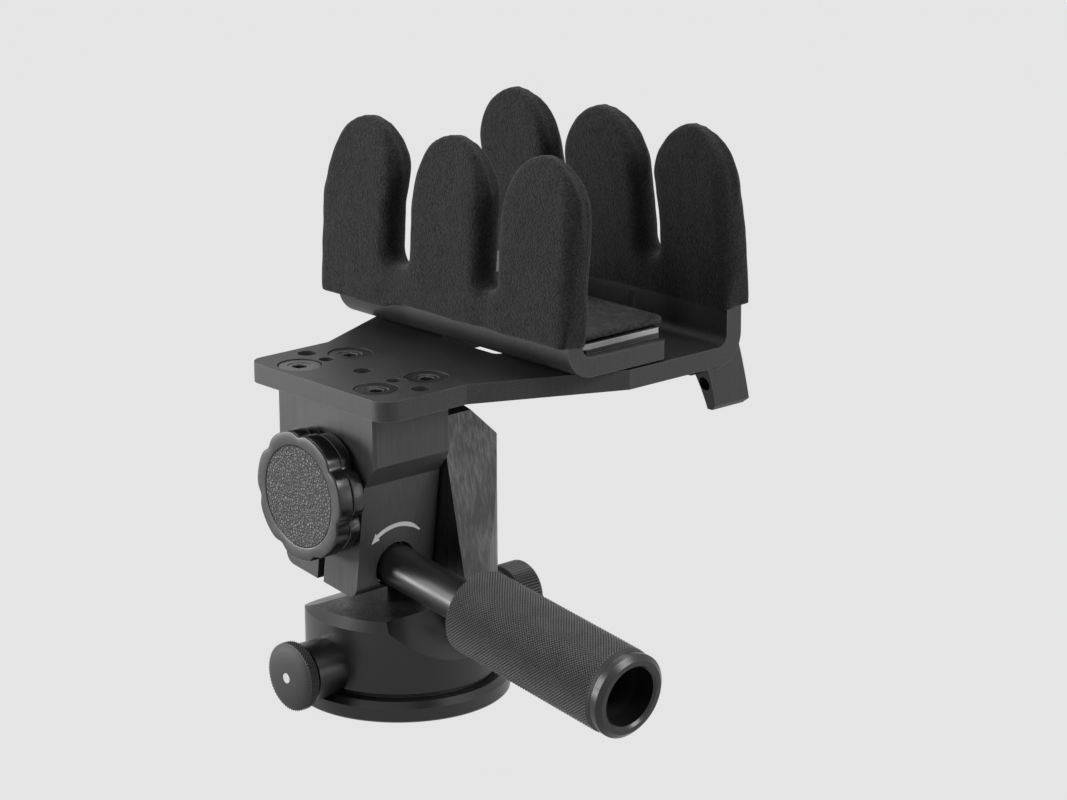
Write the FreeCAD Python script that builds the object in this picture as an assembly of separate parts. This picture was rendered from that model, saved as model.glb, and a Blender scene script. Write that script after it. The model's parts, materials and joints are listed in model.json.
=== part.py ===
import FreeCAD, Part
import math
import os

os.makedirs("parts", exist_ok=True)
V = FreeCAD.Vector
X_AXIS, Y_AXIS, Z_AXIS = V(1, 0, 0), V(0, 1, 0), V(0, 0, 1)

# Driving dimensions, millimetres. Z runs up the pan axis from the base underside,
# X points along the handle towards the operator, Y points across to the saddle.

# Base and drum
BASE_R = 41.4
BASE_SIDE_H = 5.4
BASE_CHAMFER = 2.2
BASE_TOP = BASE_SIDE_H + BASE_CHAMFER
DRUM_R = 36.9
DRUM_BOTTOM = 8.1
DRUM_SHOULDER = 33.6
DRUM_FLOOR = 37.1
GROOVE_DEPTH = 1.4
GLIDE_INNER_R, GLIDE_OUTER_R = 25.0, 34.5

# Pan pivot
SPINDLE_R = 10.0
SPINDLE_TOP = 28.4
FLANGE_R = 18.0
FLANGE_TOP = 4.1
TRIPOD_TAP_R = 3.97
TRIPOD_TAP_DEPTH = 14.0
WASHER_R = 11.0
CAP_R, CAP_T = 11.3, 2.5
PAN_BUSH_R = 12.0
PAN_FIT = 0.05
WASHER_T = 1.8

# Upright arm
ARM_FACE_Y = 2.2
ARM_TOP_R = 33.4
ARM_SIDE_HIGH = (25.4, 95.0)
ARM_SIDE_LOW = (34.8, 51.0)
ARM_CHAMFER_SUM = 128.2

# Pan lock knob on the near side, pan drag knob on the far side
LOCK_Z, LOCK_KNOB_R = 16.6, 13.2
LOCK_BOSS_R, LOCK_BOSS_Y = 11.2, -48.6
LOCK_FACE_Y, LOCK_BACK_Y = -56.2, -50.0
DRAG_Z, DRAG_KNOB_R = 23.7, 12.2
DRAG_BOSS_R, DRAG_BOSS_Y = 7.6, 48.2
DRAG_BACK_Y, DRAG_FACE_Y = 49.6, 63.0
STUD_R = 4.0
BOSS_SEAT = 28.0

# Tilt axis and tilting block
TILT_Z = 86.0
TILT_SHAFT_R = 9.0
TILT_FIT = 0.05
LUG_LEAN = 7.5
BLOCK_Y0, BLOCK_Y1 = -35.1, 1.2
BLOCK_HALF_X = 28.7
BLOCK_STEP_TOP, BLOCK_STEP_LOW = 100.2, 91.4
LUG_HALF = 21.2
LUG_DROP = 37.1
LUG_CORNER = 5.0
SLIT_HALF = 1.8

# Tilt knob
KNOB_R, KNOB_LOBES, KNOB_NOTCH = 24.8, 7, 1.7
KNOB_Y0, KNOB_Y1 = -48.6, -36.2
INSET_R, INSET_DEPTH = 19.2, 1.0

# Handle, along the leaning lug's own normal
HANDLE_DROP = 26.7
HANDLE_SHAFT_R = 8.0
COUNTERBORE_R, COUNTERBORE_DEPTH = 9.3, 6.5
HANDLE_BOLT_R = 4.0
GRIP_START, GRIP_END = 67.5, 145.6
RING_END = 150.6
GRIP_R, GRIP_BORE_R = 16.3, 11.2
RING_R = 15.9

# Head plate and saddle
PLATE_T = 7.6
PLATE_TOP = 128.3
PLATE_BOTTOM = PLATE_TOP - PLATE_T
PLATE_END_Y, PLATE_HALF_X, PLATE_CORNER_R = -40.0, 40.6, 7.0
FLARE_START_Y, FLARE_END_Y = -0.9, 56.3
SADDLE_HALF = 66.8
REAR_FACE_Y = 107.1
BEND_INNER_R = 4.5
SCREW_X, SCREW_Y, SCREW_HEAD_R = 22.4, 12.0, 8.2
PLATE_CENTRE_Y = 0.5 * (BLOCK_Y0 + BLOCK_Y1)
PLAIN_HOLES = ((-33.3, 3.6), (-21.6, 2.9), (0.0, 3.6), (18.0, 2.9), (33.3, 3.6))
WINDOW_HALF, WINDOW_Y0, WINDOW_Y1 = 17.0, 34.6, 95.0
WALL_SLOT_X, WALL_SLOT_HALF, WALL_SLOT_TOP = 14.0, 1.85, 141.0

# Fingers of both jaws and their foam sleeves; the fingers lean in over the saddle
FINGER_PITCH, FINGER_HALF, FINGER_TIP = 50.6, 16.2, 200.5
FINGER_VALLEY = 152.4
FRONT_LEAN, FRONT_LEAN_Z = -3.6, 172.0
REAR_LEAN, REAR_LEAN_Z = 5.0, 150.0
FOAM_SIDE, FOAM_FACE = 4.4, 3.1
FRONT_FOAM_TIP, REAR_FOAM_TIP = 211.1, 212.6
FOAM_ROUND = 5.4
FOAM_POINT = 4.0
FOAM_TAPER_Z, FOAM_CREST_HALF = 184.0, 1.6
FOAM_HEM_DRAW = 2.2
FRONT_HEM, REAR_HEM = 142.0, 142.1
CORE_ABOVE_HEM = 2.0

# Sliding front jaw
JAW_T = 7.2
JAW_FACE_Y = 25.5
JAW_FOOT_LOW = 129.2
JAW_FOOT_TOP = JAW_FOOT_LOW + JAW_T
JAW_FOOT_END = 75.6
JAW_BEND_INNER = 4.8
CARRIAGE_Y0, CARRIAGE_Y1 = 60.0, 71.0
KEEPER_HALF, KEEPER_LOW = 9.4, 111.4
REST_PLATE_T, REST_HALF_X = 1.9, 62.2
REST_PAD_HALF_X, REST_PAD_Y1, REST_PAD_T = 59.6, 82.4, 2.6
ROD_R, ROD_Z, ROD_START_Y, ROD_END_Y = 2.6, 115.6, 54.5, 105.0

# Release lever: a flat bar under the plate that ends in a finger block hugging the bend
LEVER_PIVOT_X, LEVER_PIVOT_Y = 22.0, 98.8
LEVER_PIVOT_R, LEVER_PIVOT_SHANK_R, LEVER_BAR_HALF = 3.0, 2.5, 4.8
LEVER_BAR_LOW, LEVER_BAR_TOP = 117.7, 120.3
LEVER_BLOCK_X0, LEVER_BLOCK_X1 = 56.8, 66.2
LEVER_BLOCK_LOW = 103.2
LEVER_HOLE_R, LEVER_HOLE_Z = 2.8, 113.6


def polygon(points):
    """Closed planar face through points, each a vector."""
    return Part.Face(Part.makePolygon(points + [points[0]]))


def cylinder(radius, start, direction, length):
    return Part.makeCylinder(radius, length, start, direction)


def tube(outer, inner, start, direction, length):
    return cylinder(outer, start, direction, length).cut(cylinder(inner, start, direction, length))


def box(x0, x1, y0, y1, z0, z1):
    return Part.makeBox(x1 - x0, y1 - y0, z1 - z0, V(x0, y0, z0))


def turned(profile, origin, direction):
    """Solid of revolution: profile is (radius, distance along direction) pairs."""
    face = polygon([V(r, 0, d) for r, d in profile])
    solid = face.revolve(V(0, 0, 0), Z_AXIS, 360)
    solid.Placement = FreeCAD.Placement(origin, FreeCAD.Rotation(Z_AXIS, direction))
    return solid


def rounded_edges(solid, radius, choose):
    """Fillet the edges for which choose(edge) is true."""
    edges = [edge for edge in solid.Edges if choose(edge)]
    return solid.makeFillet(radius, edges)


def chamfered_edges(solid, size, choose):
    edges = [edge for edge in solid.Edges if choose(edge)]
    return solid.makeChamfer(size, edges)


def is_along(edge, direction):
    """True for a straight edge that runs along direction."""
    if not isinstance(edge.Curve, Part.Line):
        return False
    return abs(abs(edge.Curve.Direction.dot(direction)) - 1) < 1e-6


def export(shape, node):
    shape.exportStep("parts/" + node + ".step")
    print(node, "solids", len(shape.Solids), "volume", round(shape.Volume))


def group(solids):
    return Part.makeCompound(solids)


def cap_screw(head_r, head_h, shank_r, shank_l, hex_r, top, direction):
    """Screw whose head's outer end is at top and whose shank runs along direction."""
    head = cylinder(head_r, top, direction, head_h)
    shank = cylinder(shank_r, top + direction * head_h, direction, shank_l)
    socket = cylinder(hex_r, top, direction, head_h * 0.6)
    return head.fuse(shank).cut(socket)


def flat_screw(head_r, shank_r, head_h, length, hex_r, top, direction):
    """Countersunk screw with its flat head's face at top."""
    profile = [(0, 0), (head_r, 0), (head_r, 0.6), (shank_r, head_h), (shank_r, length), (0, length)]
    socket = cylinder(hex_r, top, direction, head_h * 0.7)
    return turned(profile, top, direction).cut(socket)


def lug_point(u, w, y=0.0):
    """Point of the leaning lug: u along the handle, w down from the tilt axis."""
    lean = math.radians(LUG_LEAN)
    x = u * math.cos(lean) - w * math.sin(lean)
    z = TILT_Z - u * math.sin(lean) - w * math.cos(lean)
    return V(x, y, z)


HANDLE_DIR = (lug_point(1, 0) - lug_point(0, 0))


# Base: disc, spindle with the tripod thread, glide ring and retaining parts

def make_base_disc():
    profile = [(0, 0), (BASE_R - 0.6, 0), (BASE_R, 0.6), (BASE_R, BASE_SIDE_H),
               (BASE_R - BASE_CHAMFER, BASE_TOP), (0, BASE_TOP)]
    disc = turned(profile, V(0, 0, 0), Z_AXIS)
    disc = disc.cut(cylinder(FLANGE_R + 0.05, V(0, 0, 0), Z_AXIS, FLANGE_TOP))
    disc = disc.cut(cylinder(SPINDLE_R + 0.02, V(0, 0, 0), Z_AXIS, BASE_TOP))
    relief = tube(FLANGE_R + 9, FLANGE_R + 4, V(0, 0, 0), Z_AXIS, 1.2)
    disc = disc.cut(relief)
    for screw in make_base_screws():
        disc = disc.cut(screw)
    return disc


def make_base_screws():
    screws = []
    for angle in (30, 150, 270):
        a = math.radians(angle)
        top = V(14 * math.cos(a), 14 * math.sin(a), 0.1)
        screws.append(flat_screw(3.1, 1.6, 2.2, 6.8, 1.1, top, Z_AXIS))
    return screws


def make_spindle():
    flange = cylinder(FLANGE_R, V(0, 0, 0), Z_AXIS, FLANGE_TOP)
    spindle = flange.fuse(cylinder(SPINDLE_R, V(0, 0, 0), Z_AXIS, SPINDLE_TOP))
    spindle = spindle.cut(cylinder(TRIPOD_TAP_R, V(0, 0, 0), Z_AXIS, TRIPOD_TAP_DEPTH))
    spindle = spindle.cut(cylinder(2.5, V(0, 0, SPINDLE_TOP - 10), Z_AXIS, 10))
    for screw in make_base_screws():
        spindle = spindle.cut(screw)
    return spindle


export(make_base_disc(), "base_disc")
export(make_spindle(), "pan_spindle")
export(group(make_base_screws()), "base_screws")
glide_t = DRUM_BOTTOM - BASE_TOP - 0.1
export(tube(GLIDE_OUTER_R, GLIDE_INNER_R, V(0, 0, BASE_TOP), Z_AXIS, glide_t), "pan_glide_ring")
export(tube(WASHER_R, 2.5, V(0, 0, SPINDLE_TOP), Z_AXIS, WASHER_T), "spindle_washer")
screw_top = V(0, 0, SPINDLE_TOP + WASHER_T + 3.6)
export(cap_screw(4.9, 3.6, 2.5, 10.5, 2.0, screw_top, V(0, 0, -1)), "spindle_screw")


# Yoke: rotating drum and upright arm in one piece

def make_drum():
    inner = DRUM_R - GROOVE_DEPTH
    profile = [(0, DRUM_BOTTOM), (inner, DRUM_BOTTOM), (inner, DRUM_BOTTOM + 0.8),
               (DRUM_R, DRUM_BOTTOM + 1.6), (DRUM_R, DRUM_SHOULDER),
               (DRUM_R - 3.2, DRUM_FLOOR), (0, DRUM_FLOOR)]
    drum = turned(profile, V(0, 0, 0), Z_AXIS)
    # The floor falls away on both sides so that the block's corners can swing
    for side, ridge, fall in ((-1, 11.5, 0.37), (1, 22.0, 1.1)):
        reach = 60 - ridge
        wedge = polygon([V(side * ridge, -60, DRUM_FLOOR), V(side * 60, -60, DRUM_FLOOR),
                         V(side * 60, -60, DRUM_FLOOR - fall * reach)])
        drum = drum.cut(wedge.extrude(V(0, 60 + ARM_FACE_Y, 0)))
    return drum


def make_arm():
    arm = cylinder(DRUM_R, V(0, 0, DRUM_BOTTOM + 4), Z_AXIS, 120)
    (x_hi, z_hi), (x_lo, z_lo) = ARM_SIDE_HIGH, ARM_SIDE_LOW
    slope = (x_lo - x_hi) / (z_hi - z_lo)
    x_floor = x_hi + slope * (z_hi - 12.0)
    x_top = x_hi - slope * (TILT_Z + ARM_TOP_R - z_hi)
    z_top = TILT_Z + ARM_TOP_R
    outline = polygon([V(-x_floor, 0, 12), V(x_floor, 0, 12), V(x_top, 0, z_top), V(-x_top, 0, z_top)])
    arm = arm.common(outline.extrude(V(0, 60, 0)))
    dome = cylinder(ARM_TOP_R, V(0, 0, TILT_Z), Y_AXIS, 60)
    arm = arm.common(dome.fuse(box(-40, 40, 0, 60, 12, TILT_Z)))
    arm = arm.common(box(-40, 40, ARM_FACE_Y, 60, 12, 130))
    low_y, high_y = 5.0, 60.0
    bevel = polygon([V(-45, low_y, ARM_CHAMFER_SUM - low_y), V(-45, high_y, ARM_CHAMFER_SUM - high_y),
                     V(-45, high_y, 140), V(-45, low_y, 140)])
    return arm.cut(bevel.extrude(V(90, 0, 0)))


def make_yoke():
    yoke = make_drum().fuse(make_arm()).removeSplitter()
    # Seats of the two bosses, turned into the drum's wall
    yoke = yoke.cut(cylinder(LOCK_BOSS_R, V(0, -60, LOCK_Z), Y_AXIS, 60 - BOSS_SEAT))
    yoke = yoke.cut(cylinder(DRAG_BOSS_R, V(0, BOSS_SEAT, DRAG_Z), Y_AXIS, 30))
    # Vertical bore: bush seat, then the counterbore for the spindle's washer and screw
    yoke = yoke.cut(cylinder(PAN_BUSH_R, V(0, 0, 0), Z_AXIS, SPINDLE_TOP - 0.2))
    yoke = yoke.cut(cylinder(CAP_R, V(0, 0, SPINDLE_TOP - 0.2), Z_AXIS, 20))
    # Cross bores for the two brake studs
    yoke = yoke.cut(cylinder(STUD_R, V(0, LOCK_BOSS_Y - 1, LOCK_Z), Y_AXIS, 42))
    yoke = yoke.cut(cylinder(STUD_R, V(0, 8, DRAG_Z), Y_AXIS, 42))
    # Seat of the tilt shaft, and its screw's counterbore from the far side
    yoke = yoke.cut(cylinder(TILT_SHAFT_R, V(0, ARM_FACE_Y - 1, TILT_Z), Y_AXIS, 15))
    yoke = yoke.cut(cylinder(4.1, V(0, ARM_FACE_Y, TILT_Z), Y_AXIS, 40))
    yoke = yoke.cut(cylinder(7.2, V(0, 28, TILT_Z), Y_AXIS, 14))
    return yoke


export(make_yoke(), "yoke")
# The lock boss is trimmed underneath to leave room for the base's rim
lock_boss = tube(LOCK_BOSS_R, STUD_R, V(0, LOCK_BOSS_Y, LOCK_Z), Y_AXIS, -BOSS_SEAT - LOCK_BOSS_Y)
export(lock_boss.cut(cylinder(BASE_R + 0.6, V(0, 0, 0), Z_AXIS, DRUM_BOTTOM)), "pan_lock_boss")
drag_boss = tube(DRAG_BOSS_R, STUD_R, V(0, BOSS_SEAT, DRAG_Z), Y_AXIS, DRAG_BOSS_Y - BOSS_SEAT)
export(drag_boss, "pan_drag_boss")
bush = tube(PAN_BUSH_R, SPINDLE_R + PAN_FIT, V(0, 0, DRUM_BOTTOM + 0.2), Z_AXIS, 19.8)
bush = bush.cut(cylinder(STUD_R + 0.1, V(0, -14, LOCK_Z), Y_AXIS, 8))
bush = bush.cut(cylinder(STUD_R + 0.1, V(0, 6, DRAG_Z), Y_AXIS, 8))
export(bush, "pan_bush")
export(cylinder(CAP_R, V(0, 0, DRUM_FLOOR - CAP_T), Z_AXIS, CAP_T), "spindle_cap")
export(cylinder(STUD_R - 0.1, V(0, -15.5, LOCK_Z), Y_AXIS, 5.1), "lock_brake_shoe")
export(cylinder(STUD_R - 0.1, V(0, 10.4, DRAG_Z), Y_AXIS, 5.1), "drag_brake_shoe")

shaft = cylinder(TILT_SHAFT_R, V(0, -33.5, TILT_Z), Y_AXIS, 33.5 + ARM_FACE_Y + 13.9)
shaft = shaft.cut(cylinder(STUD_R, V(0, -34, TILT_Z), Y_AXIS, 18.5))
shaft = shaft.cut(cylinder(4.0, V(0, -4, TILT_Z), Y_AXIS, 21))
export(shaft, "tilt_shaft")
export(cap_screw(6.4, 7.0, 4.0, 25.5, 3.2, V(0, 35.2, TILT_Z), V(0, -1, 0)), "tilt_shaft_screw")
export(tube(16.0, TILT_SHAFT_R + 0.1, V(0, BLOCK_Y1 + 0.02, TILT_Z), Y_AXIS, 0.95), "tilt_thrust_washer")

# Pan lock knob: thin knurled disc, its threaded stud and the centre pin

lock_l = LOCK_BACK_Y - LOCK_FACE_Y
profile = [(0, 0), (LOCK_KNOB_R - 1.5, 0), (LOCK_KNOB_R, 1.3), (LOCK_KNOB_R, lock_l - 0.9),
           (LOCK_KNOB_R - 0.9, lock_l), (0, lock_l)]
lock_knob = turned(profile, V(0, LOCK_FACE_Y, LOCK_Z), Y_AXIS)
lock_knob = lock_knob.cut(cylinder(2.0, V(0, LOCK_FACE_Y, LOCK_Z), Y_AXIS, 2.0))
lock_knob = lock_knob.cut(cylinder(STUD_R, V(0, LOCK_BACK_Y - 3.4, LOCK_Z), Y_AXIS, 3.4))
export(lock_knob, "pan_lock_knob")
export(cylinder(STUD_R - 0.05, V(0, LOCK_BACK_Y - 3.4, LOCK_Z), Y_AXIS, 37.7), "pan_lock_stud")
export(cylinder(1.95, V(0, LOCK_FACE_Y + 0.1, LOCK_Z), Y_AXIS, 1.9), "pan_lock_centre")

# Pan drag knob: longer straight-knurled knob and its stud

drag_l = DRAG_FACE_Y - DRAG_BACK_Y
profile = [(0, 0), (DRAG_KNOB_R - 1.0, 0), (DRAG_KNOB_R, 1.0), (DRAG_KNOB_R, drag_l - 1.2),
           (DRAG_KNOB_R - 1.2, drag_l), (0, drag_l)]
drag_knob = turned(profile, V(0, DRAG_BACK_Y, DRAG_Z), Y_AXIS)
export(drag_knob.cut(cylinder(STUD_R, V(0, DRAG_BACK_Y, DRAG_Z), Y_AXIS, 9)), "pan_drag_knob")
export(cylinder(STUD_R - 0.05, V(0, 15.7, DRAG_Z), Y_AXIS, DRAG_BACK_Y + 9 - 15.7), "pan_drag_stud")


# Tilting block: a split clamp whose lower lug leans with the handle

def block_outline():
    lean = math.radians(LUG_LEAN)
    r = LUG_CORNER
    mid = r * (1 - math.cos(math.radians(45)))

    def side_x(u, z):
        return (u + (z - TILT_Z) * math.sin(lean)) / math.cos(lean)

    top = [V(-BLOCK_HALF_X, 0, PLATE_BOTTOM), V(BLOCK_HALF_X, 0, PLATE_BOTTOM),
           V(BLOCK_HALF_X, 0, BLOCK_STEP_TOP), V(side_x(LUG_HALF, BLOCK_STEP_LOW), 0, BLOCK_STEP_LOW),
           lug_point(LUG_HALF, LUG_DROP - r)]
    edges = [Part.makeLine(a, b) for a, b in zip(top, top[1:])]
    right = [lug_point(LUG_HALF, LUG_DROP - r), lug_point(LUG_HALF - mid, LUG_DROP - mid),
             lug_point(LUG_HALF - r, LUG_DROP)]
    edges.append(Part.Arc(*right).toShape())
    edges.append(Part.makeLine(right[2], lug_point(r - LUG_HALF, LUG_DROP)))
    left = [lug_point(r - LUG_HALF, LUG_DROP), lug_point(mid - LUG_HALF, LUG_DROP - mid),
            lug_point(-LUG_HALF, LUG_DROP - r)]
    edges.append(Part.Arc(*left).toShape())
    rest = [left[2], V(side_x(-LUG_HALF, BLOCK_STEP_LOW), 0, BLOCK_STEP_LOW),
            V(-BLOCK_HALF_X, 0, BLOCK_STEP_TOP), top[0]]
    edges += [Part.makeLine(a, b) for a, b in zip(rest, rest[1:])]
    return Part.Face(Part.Wire(edges))


def make_block():
    face = block_outline()
    face.translate(V(0, BLOCK_Y0, 0))
    block = face.extrude(V(0, BLOCK_Y1 - BLOCK_Y0, 0))
    # Narrow bevels along the upright corners
    block = chamfered_edges(block, 1.2, lambda e: is_along(e, Z_AXIS))
    block = block.cut(cylinder(TILT_SHAFT_R + TILT_FIT, V(0, BLOCK_Y0 - 1, TILT_Z), Y_AXIS, 40))
    # Slit that lets the handle's bolt squeeze the bore
    corners = [lug_point(-SLIT_HALF, 4), lug_point(SLIT_HALF, 4),
               lug_point(SLIT_HALF, 45), lug_point(-SLIT_HALF, 45)]
    slit = polygon([c + V(0, BLOCK_Y0 - 1, 0) for c in corners]).extrude(V(0, 40, 0))
    block = block.cut(slit)
    # Counterbore, clearance bore and the nut's seat, all on the handle's axis
    start = lug_point(LUG_HALF - COUNTERBORE_DEPTH, HANDLE_DROP, PLATE_CENTRE_Y)
    block = block.cut(cylinder(COUNTERBORE_R, start, HANDLE_DIR, 20))
    centre = lug_point(-LUG_HALF - 2, HANDLE_DROP, PLATE_CENTRE_Y)
    block = block.cut(cylinder(HANDLE_BOLT_R + 0.35, centre, HANDLE_DIR, 2 * LUG_HALF))
    block = block.cut(cylinder(7.0, centre, HANDLE_DIR, 10))
    for screw_x in (-SCREW_X, SCREW_X):
        for screw_y in (-SCREW_Y, SCREW_Y):
            mouth = V(screw_x, PLATE_CENTRE_Y + screw_y, PLATE_BOTTOM)
            block = block.cut(cylinder(4.0, mouth, V(0, 0, -1), 14))
    return block


export(make_block(), "tilt_block")
nut_start = lug_point(-LUG_HALF + 0.6, HANDLE_DROP, PLATE_CENTRE_Y)
export(tube(6.95, HANDLE_BOLT_R, nut_start, HANDLE_DIR, 7.2), "clamp_nut")
screws = []
for screw_x in (-SCREW_X, SCREW_X):
    for screw_y in (-SCREW_Y, SCREW_Y):
        top = V(screw_x, PLATE_CENTRE_Y + screw_y, PLATE_TOP - 0.35)
        screws.append(flat_screw(SCREW_HEAD_R, 4.0, 4.6, 20.5, 2.7, top, V(0, 0, -1)))
export(group(screws), "plate_screws")


# Tilt knob: lobed plastic knob, textured inset, stud and friction washer

def knob_radius(angle):
    """Broad lobes parted by narrow shallow notches."""
    phase = KNOB_LOBES * (angle - math.radians(88)) / 2
    return KNOB_R - KNOB_NOTCH * math.exp(-(math.sin(phase) / 0.42) ** 2)


def make_tilt_knob():
    steps = 14 * KNOB_LOBES
    points = []
    for i in range(steps):
        a = 2 * math.pi * i / steps
        points.append(V(knob_radius(a) * math.cos(a), KNOB_Y0, TILT_Z + knob_radius(a) * math.sin(a)))
    curve = Part.BSplineCurve()
    curve.interpolate(points, PeriodicFlag=True)
    knob = Part.Face(Part.Wire(curve.toShape())).extrude(V(0, KNOB_Y1 - KNOB_Y0, 0))
    length = KNOB_Y1 - KNOB_Y0
    profile = [(0, 0), (KNOB_R - 2.2, 0), (KNOB_R, 1.8), (KNOB_R, length - 3.4),
               (KNOB_R - 1.6, length - 3.4), (KNOB_R - 1.6, length), (0, length)]
    knob = knob.common(turned(profile, V(0, KNOB_Y0, TILT_Z), Y_AXIS))
    knob = knob.cut(cylinder(INSET_R, V(0, KNOB_Y0, TILT_Z), Y_AXIS, INSET_DEPTH))
    return knob.cut(cylinder(STUD_R, V(0, KNOB_Y1 - 7, TILT_Z), Y_AXIS, 7))


export(make_tilt_knob(), "tilt_knob")
export(cylinder(INSET_R - 0.1, V(0, KNOB_Y0 + 0.2, TILT_Z), Y_AXIS, INSET_DEPTH - 0.2), "tilt_knob_inset")
export(cylinder(STUD_R - 0.05, V(0, KNOB_Y1 - 7, TILT_Z), Y_AXIS, 24.5), "tilt_knob_stud")
export(tube(14.0, STUD_R, V(0, BLOCK_Y0 - 1.0, TILT_Z), Y_AXIS, 0.9), "tilt_knob_washer")

# Handle: draw bolt and stem, knurled grip tube and its bevelled end ring

stem_start = lug_point(LUG_HALF - COUNTERBORE_DEPTH + 1.3, HANDLE_DROP, PLATE_CENTRE_Y)
seat = LUG_HALF - COUNTERBORE_DEPTH + 1.3
stem = cylinder(HANDLE_SHAFT_R, stem_start, HANDLE_DIR, GRIP_START + 14 - seat)
bolt_start = lug_point(-LUG_HALF + 0.9, HANDLE_DROP, PLATE_CENTRE_Y)
stem = stem.fuse(cylinder(HANDLE_BOLT_R - 0.05, bolt_start, HANDLE_DIR, LUG_HALF - 0.9 + seat + 1))
export(stem, "handle_stem")
washer_start = lug_point(seat - 1.2, HANDLE_DROP, PLATE_CENTRE_Y)
export(tube(8.6, HANDLE_BOLT_R + 0.1, washer_start, HANDLE_DIR, 1.15), "handle_thrust_washer")
grip_start = lug_point(GRIP_START, HANDLE_DROP, PLATE_CENTRE_Y)
grip_l = GRIP_END - GRIP_START
profile = [(HANDLE_SHAFT_R, 0), (GRIP_R - 2.4, 0), (GRIP_R, 2.0), (GRIP_R, grip_l),
           (GRIP_BORE_R + 0.6, grip_l), (GRIP_BORE_R + 0.6, grip_l - 4), (GRIP_BORE_R, grip_l - 4),
           (GRIP_BORE_R, 14), (HANDLE_SHAFT_R, 14)]
export(turned(profile, grip_start, HANDLE_DIR), "handle_grip")
ring_l = RING_END - GRIP_END
profile = [(GRIP_BORE_R + 0.6, 0), (RING_R - 0.5, 0), (RING_R - 0.5, 1.6), (RING_R, 1.9),
           (RING_R, ring_l - 1.6), (RING_R - 1.9, ring_l), (GRIP_BORE_R + 0.9, ring_l),
           (GRIP_BORE_R, ring_l - 0.9), (GRIP_BORE_R, -4), (GRIP_BORE_R + 0.6, -4)]
ring = turned(profile, lug_point(GRIP_END, HANDLE_DROP, PLATE_CENTRE_Y), HANDLE_DIR)
export(ring, "grip_end_ring")


# Bent jaws: an L section through the bend, trimmed by the fingers' outline

def bent_section(x0, x1, level, thickness, inner_r, wall_y, end_y, height):
    """L-shaped plate: a level leg from end_y to the bend, and a wall with its inner face at wall_y.
    The wall stands on the +Y side when wall_y is greater than end_y, else on the -Y side."""
    side = 1 if wall_y > end_y else -1
    outer_r = inner_r + thickness
    low, high = level, level + thickness
    centre = V(x0, wall_y - side * inner_r, high + inner_r)
    wall_out = wall_y + side * thickness
    diagonal = V(0, side * math.sqrt(0.5), -math.sqrt(0.5))
    p = [V(x0, end_y, low), V(x0, centre.y, low), V(x0, wall_out, centre.z), V(x0, wall_out, height),
         V(x0, wall_y, height), V(x0, wall_y, centre.z), V(x0, centre.y, high), V(x0, end_y, high)]
    edges = [Part.makeLine(p[0], p[1]), Part.Arc(p[1], centre + diagonal * outer_r, p[2]).toShape(),
             Part.makeLine(p[2], p[3]), Part.makeLine(p[3], p[4]), Part.makeLine(p[4], p[5]),
             Part.Arc(p[5], centre + diagonal * inner_r, p[6]).toShape(), Part.makeLine(p[6], p[7]),
             Part.makeLine(p[7], p[0])]
    return Part.Face(Part.Wire(edges)).extrude(V(x1 - x0, 0, 0))


def finger_tip(x, half, point, tip, y0, y1):
    """Arch over one finger: round, or two arcs that meet in a blunt point."""
    r = half + point
    base_z = tip - math.sqrt(r * r - point * point)
    arcs = [cylinder(r, V(x + k * point, y0, base_z), Y_AXIS, y1 - y0) for k in (-1, 1)]
    return arcs[0].common(arcs[1]), base_z


def finger_comb(grow, point, tip, valley, low, y0, y1):
    """Three arched fingers on a bar, extruded from y0 to y1."""
    half = FINGER_HALF + grow
    gap_r = FINGER_PITCH / 2 - half
    reach = FINGER_PITCH + half
    comb = box(-reach, reach, y0, y1, low, tip)
    for k in (-0.5, 0.5):
        x = k * FINGER_PITCH
        slot = box(x - gap_r, x + gap_r, y0, y1, valley + gap_r, tip)
        comb = comb.cut(slot.fuse(cylinder(gap_r, V(x, y0, valley + gap_r), Y_AXIS, y1 - y0)))
    for k in (-1, 0, 1):
        x = k * FINGER_PITCH
        arch, base_z = finger_tip(x, half, point, tip, y0, y1)
        comb = comb.cut(box(x - half - 1, x + half + 1, y0, y1, base_z, tip + 1).cut(arch))
    return comb


def leaned(shape, middle_y, pivot_z, degrees):
    """Tip a shape about the line along X through (middle_y, pivot_z); positive tips it to -Y."""
    shape.rotate(V(0, middle_y, pivot_z), X_AXIS, degrees)
    return shape


def add_fingers(jaw, hem, y0, y1, pivot_z, lean):
    """Leaning fingers that stand on the jaw's short wall and start just above the foam's hem."""
    comb = finger_comb(0, 0, FINGER_TIP, FINGER_VALLEY, hem + CORE_ABOVE_HEM, y0, y1)
    return jaw.fuse(leaned(comb, 0.5 * (y0 + y1), pivot_z, lean)).removeSplitter()


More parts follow.
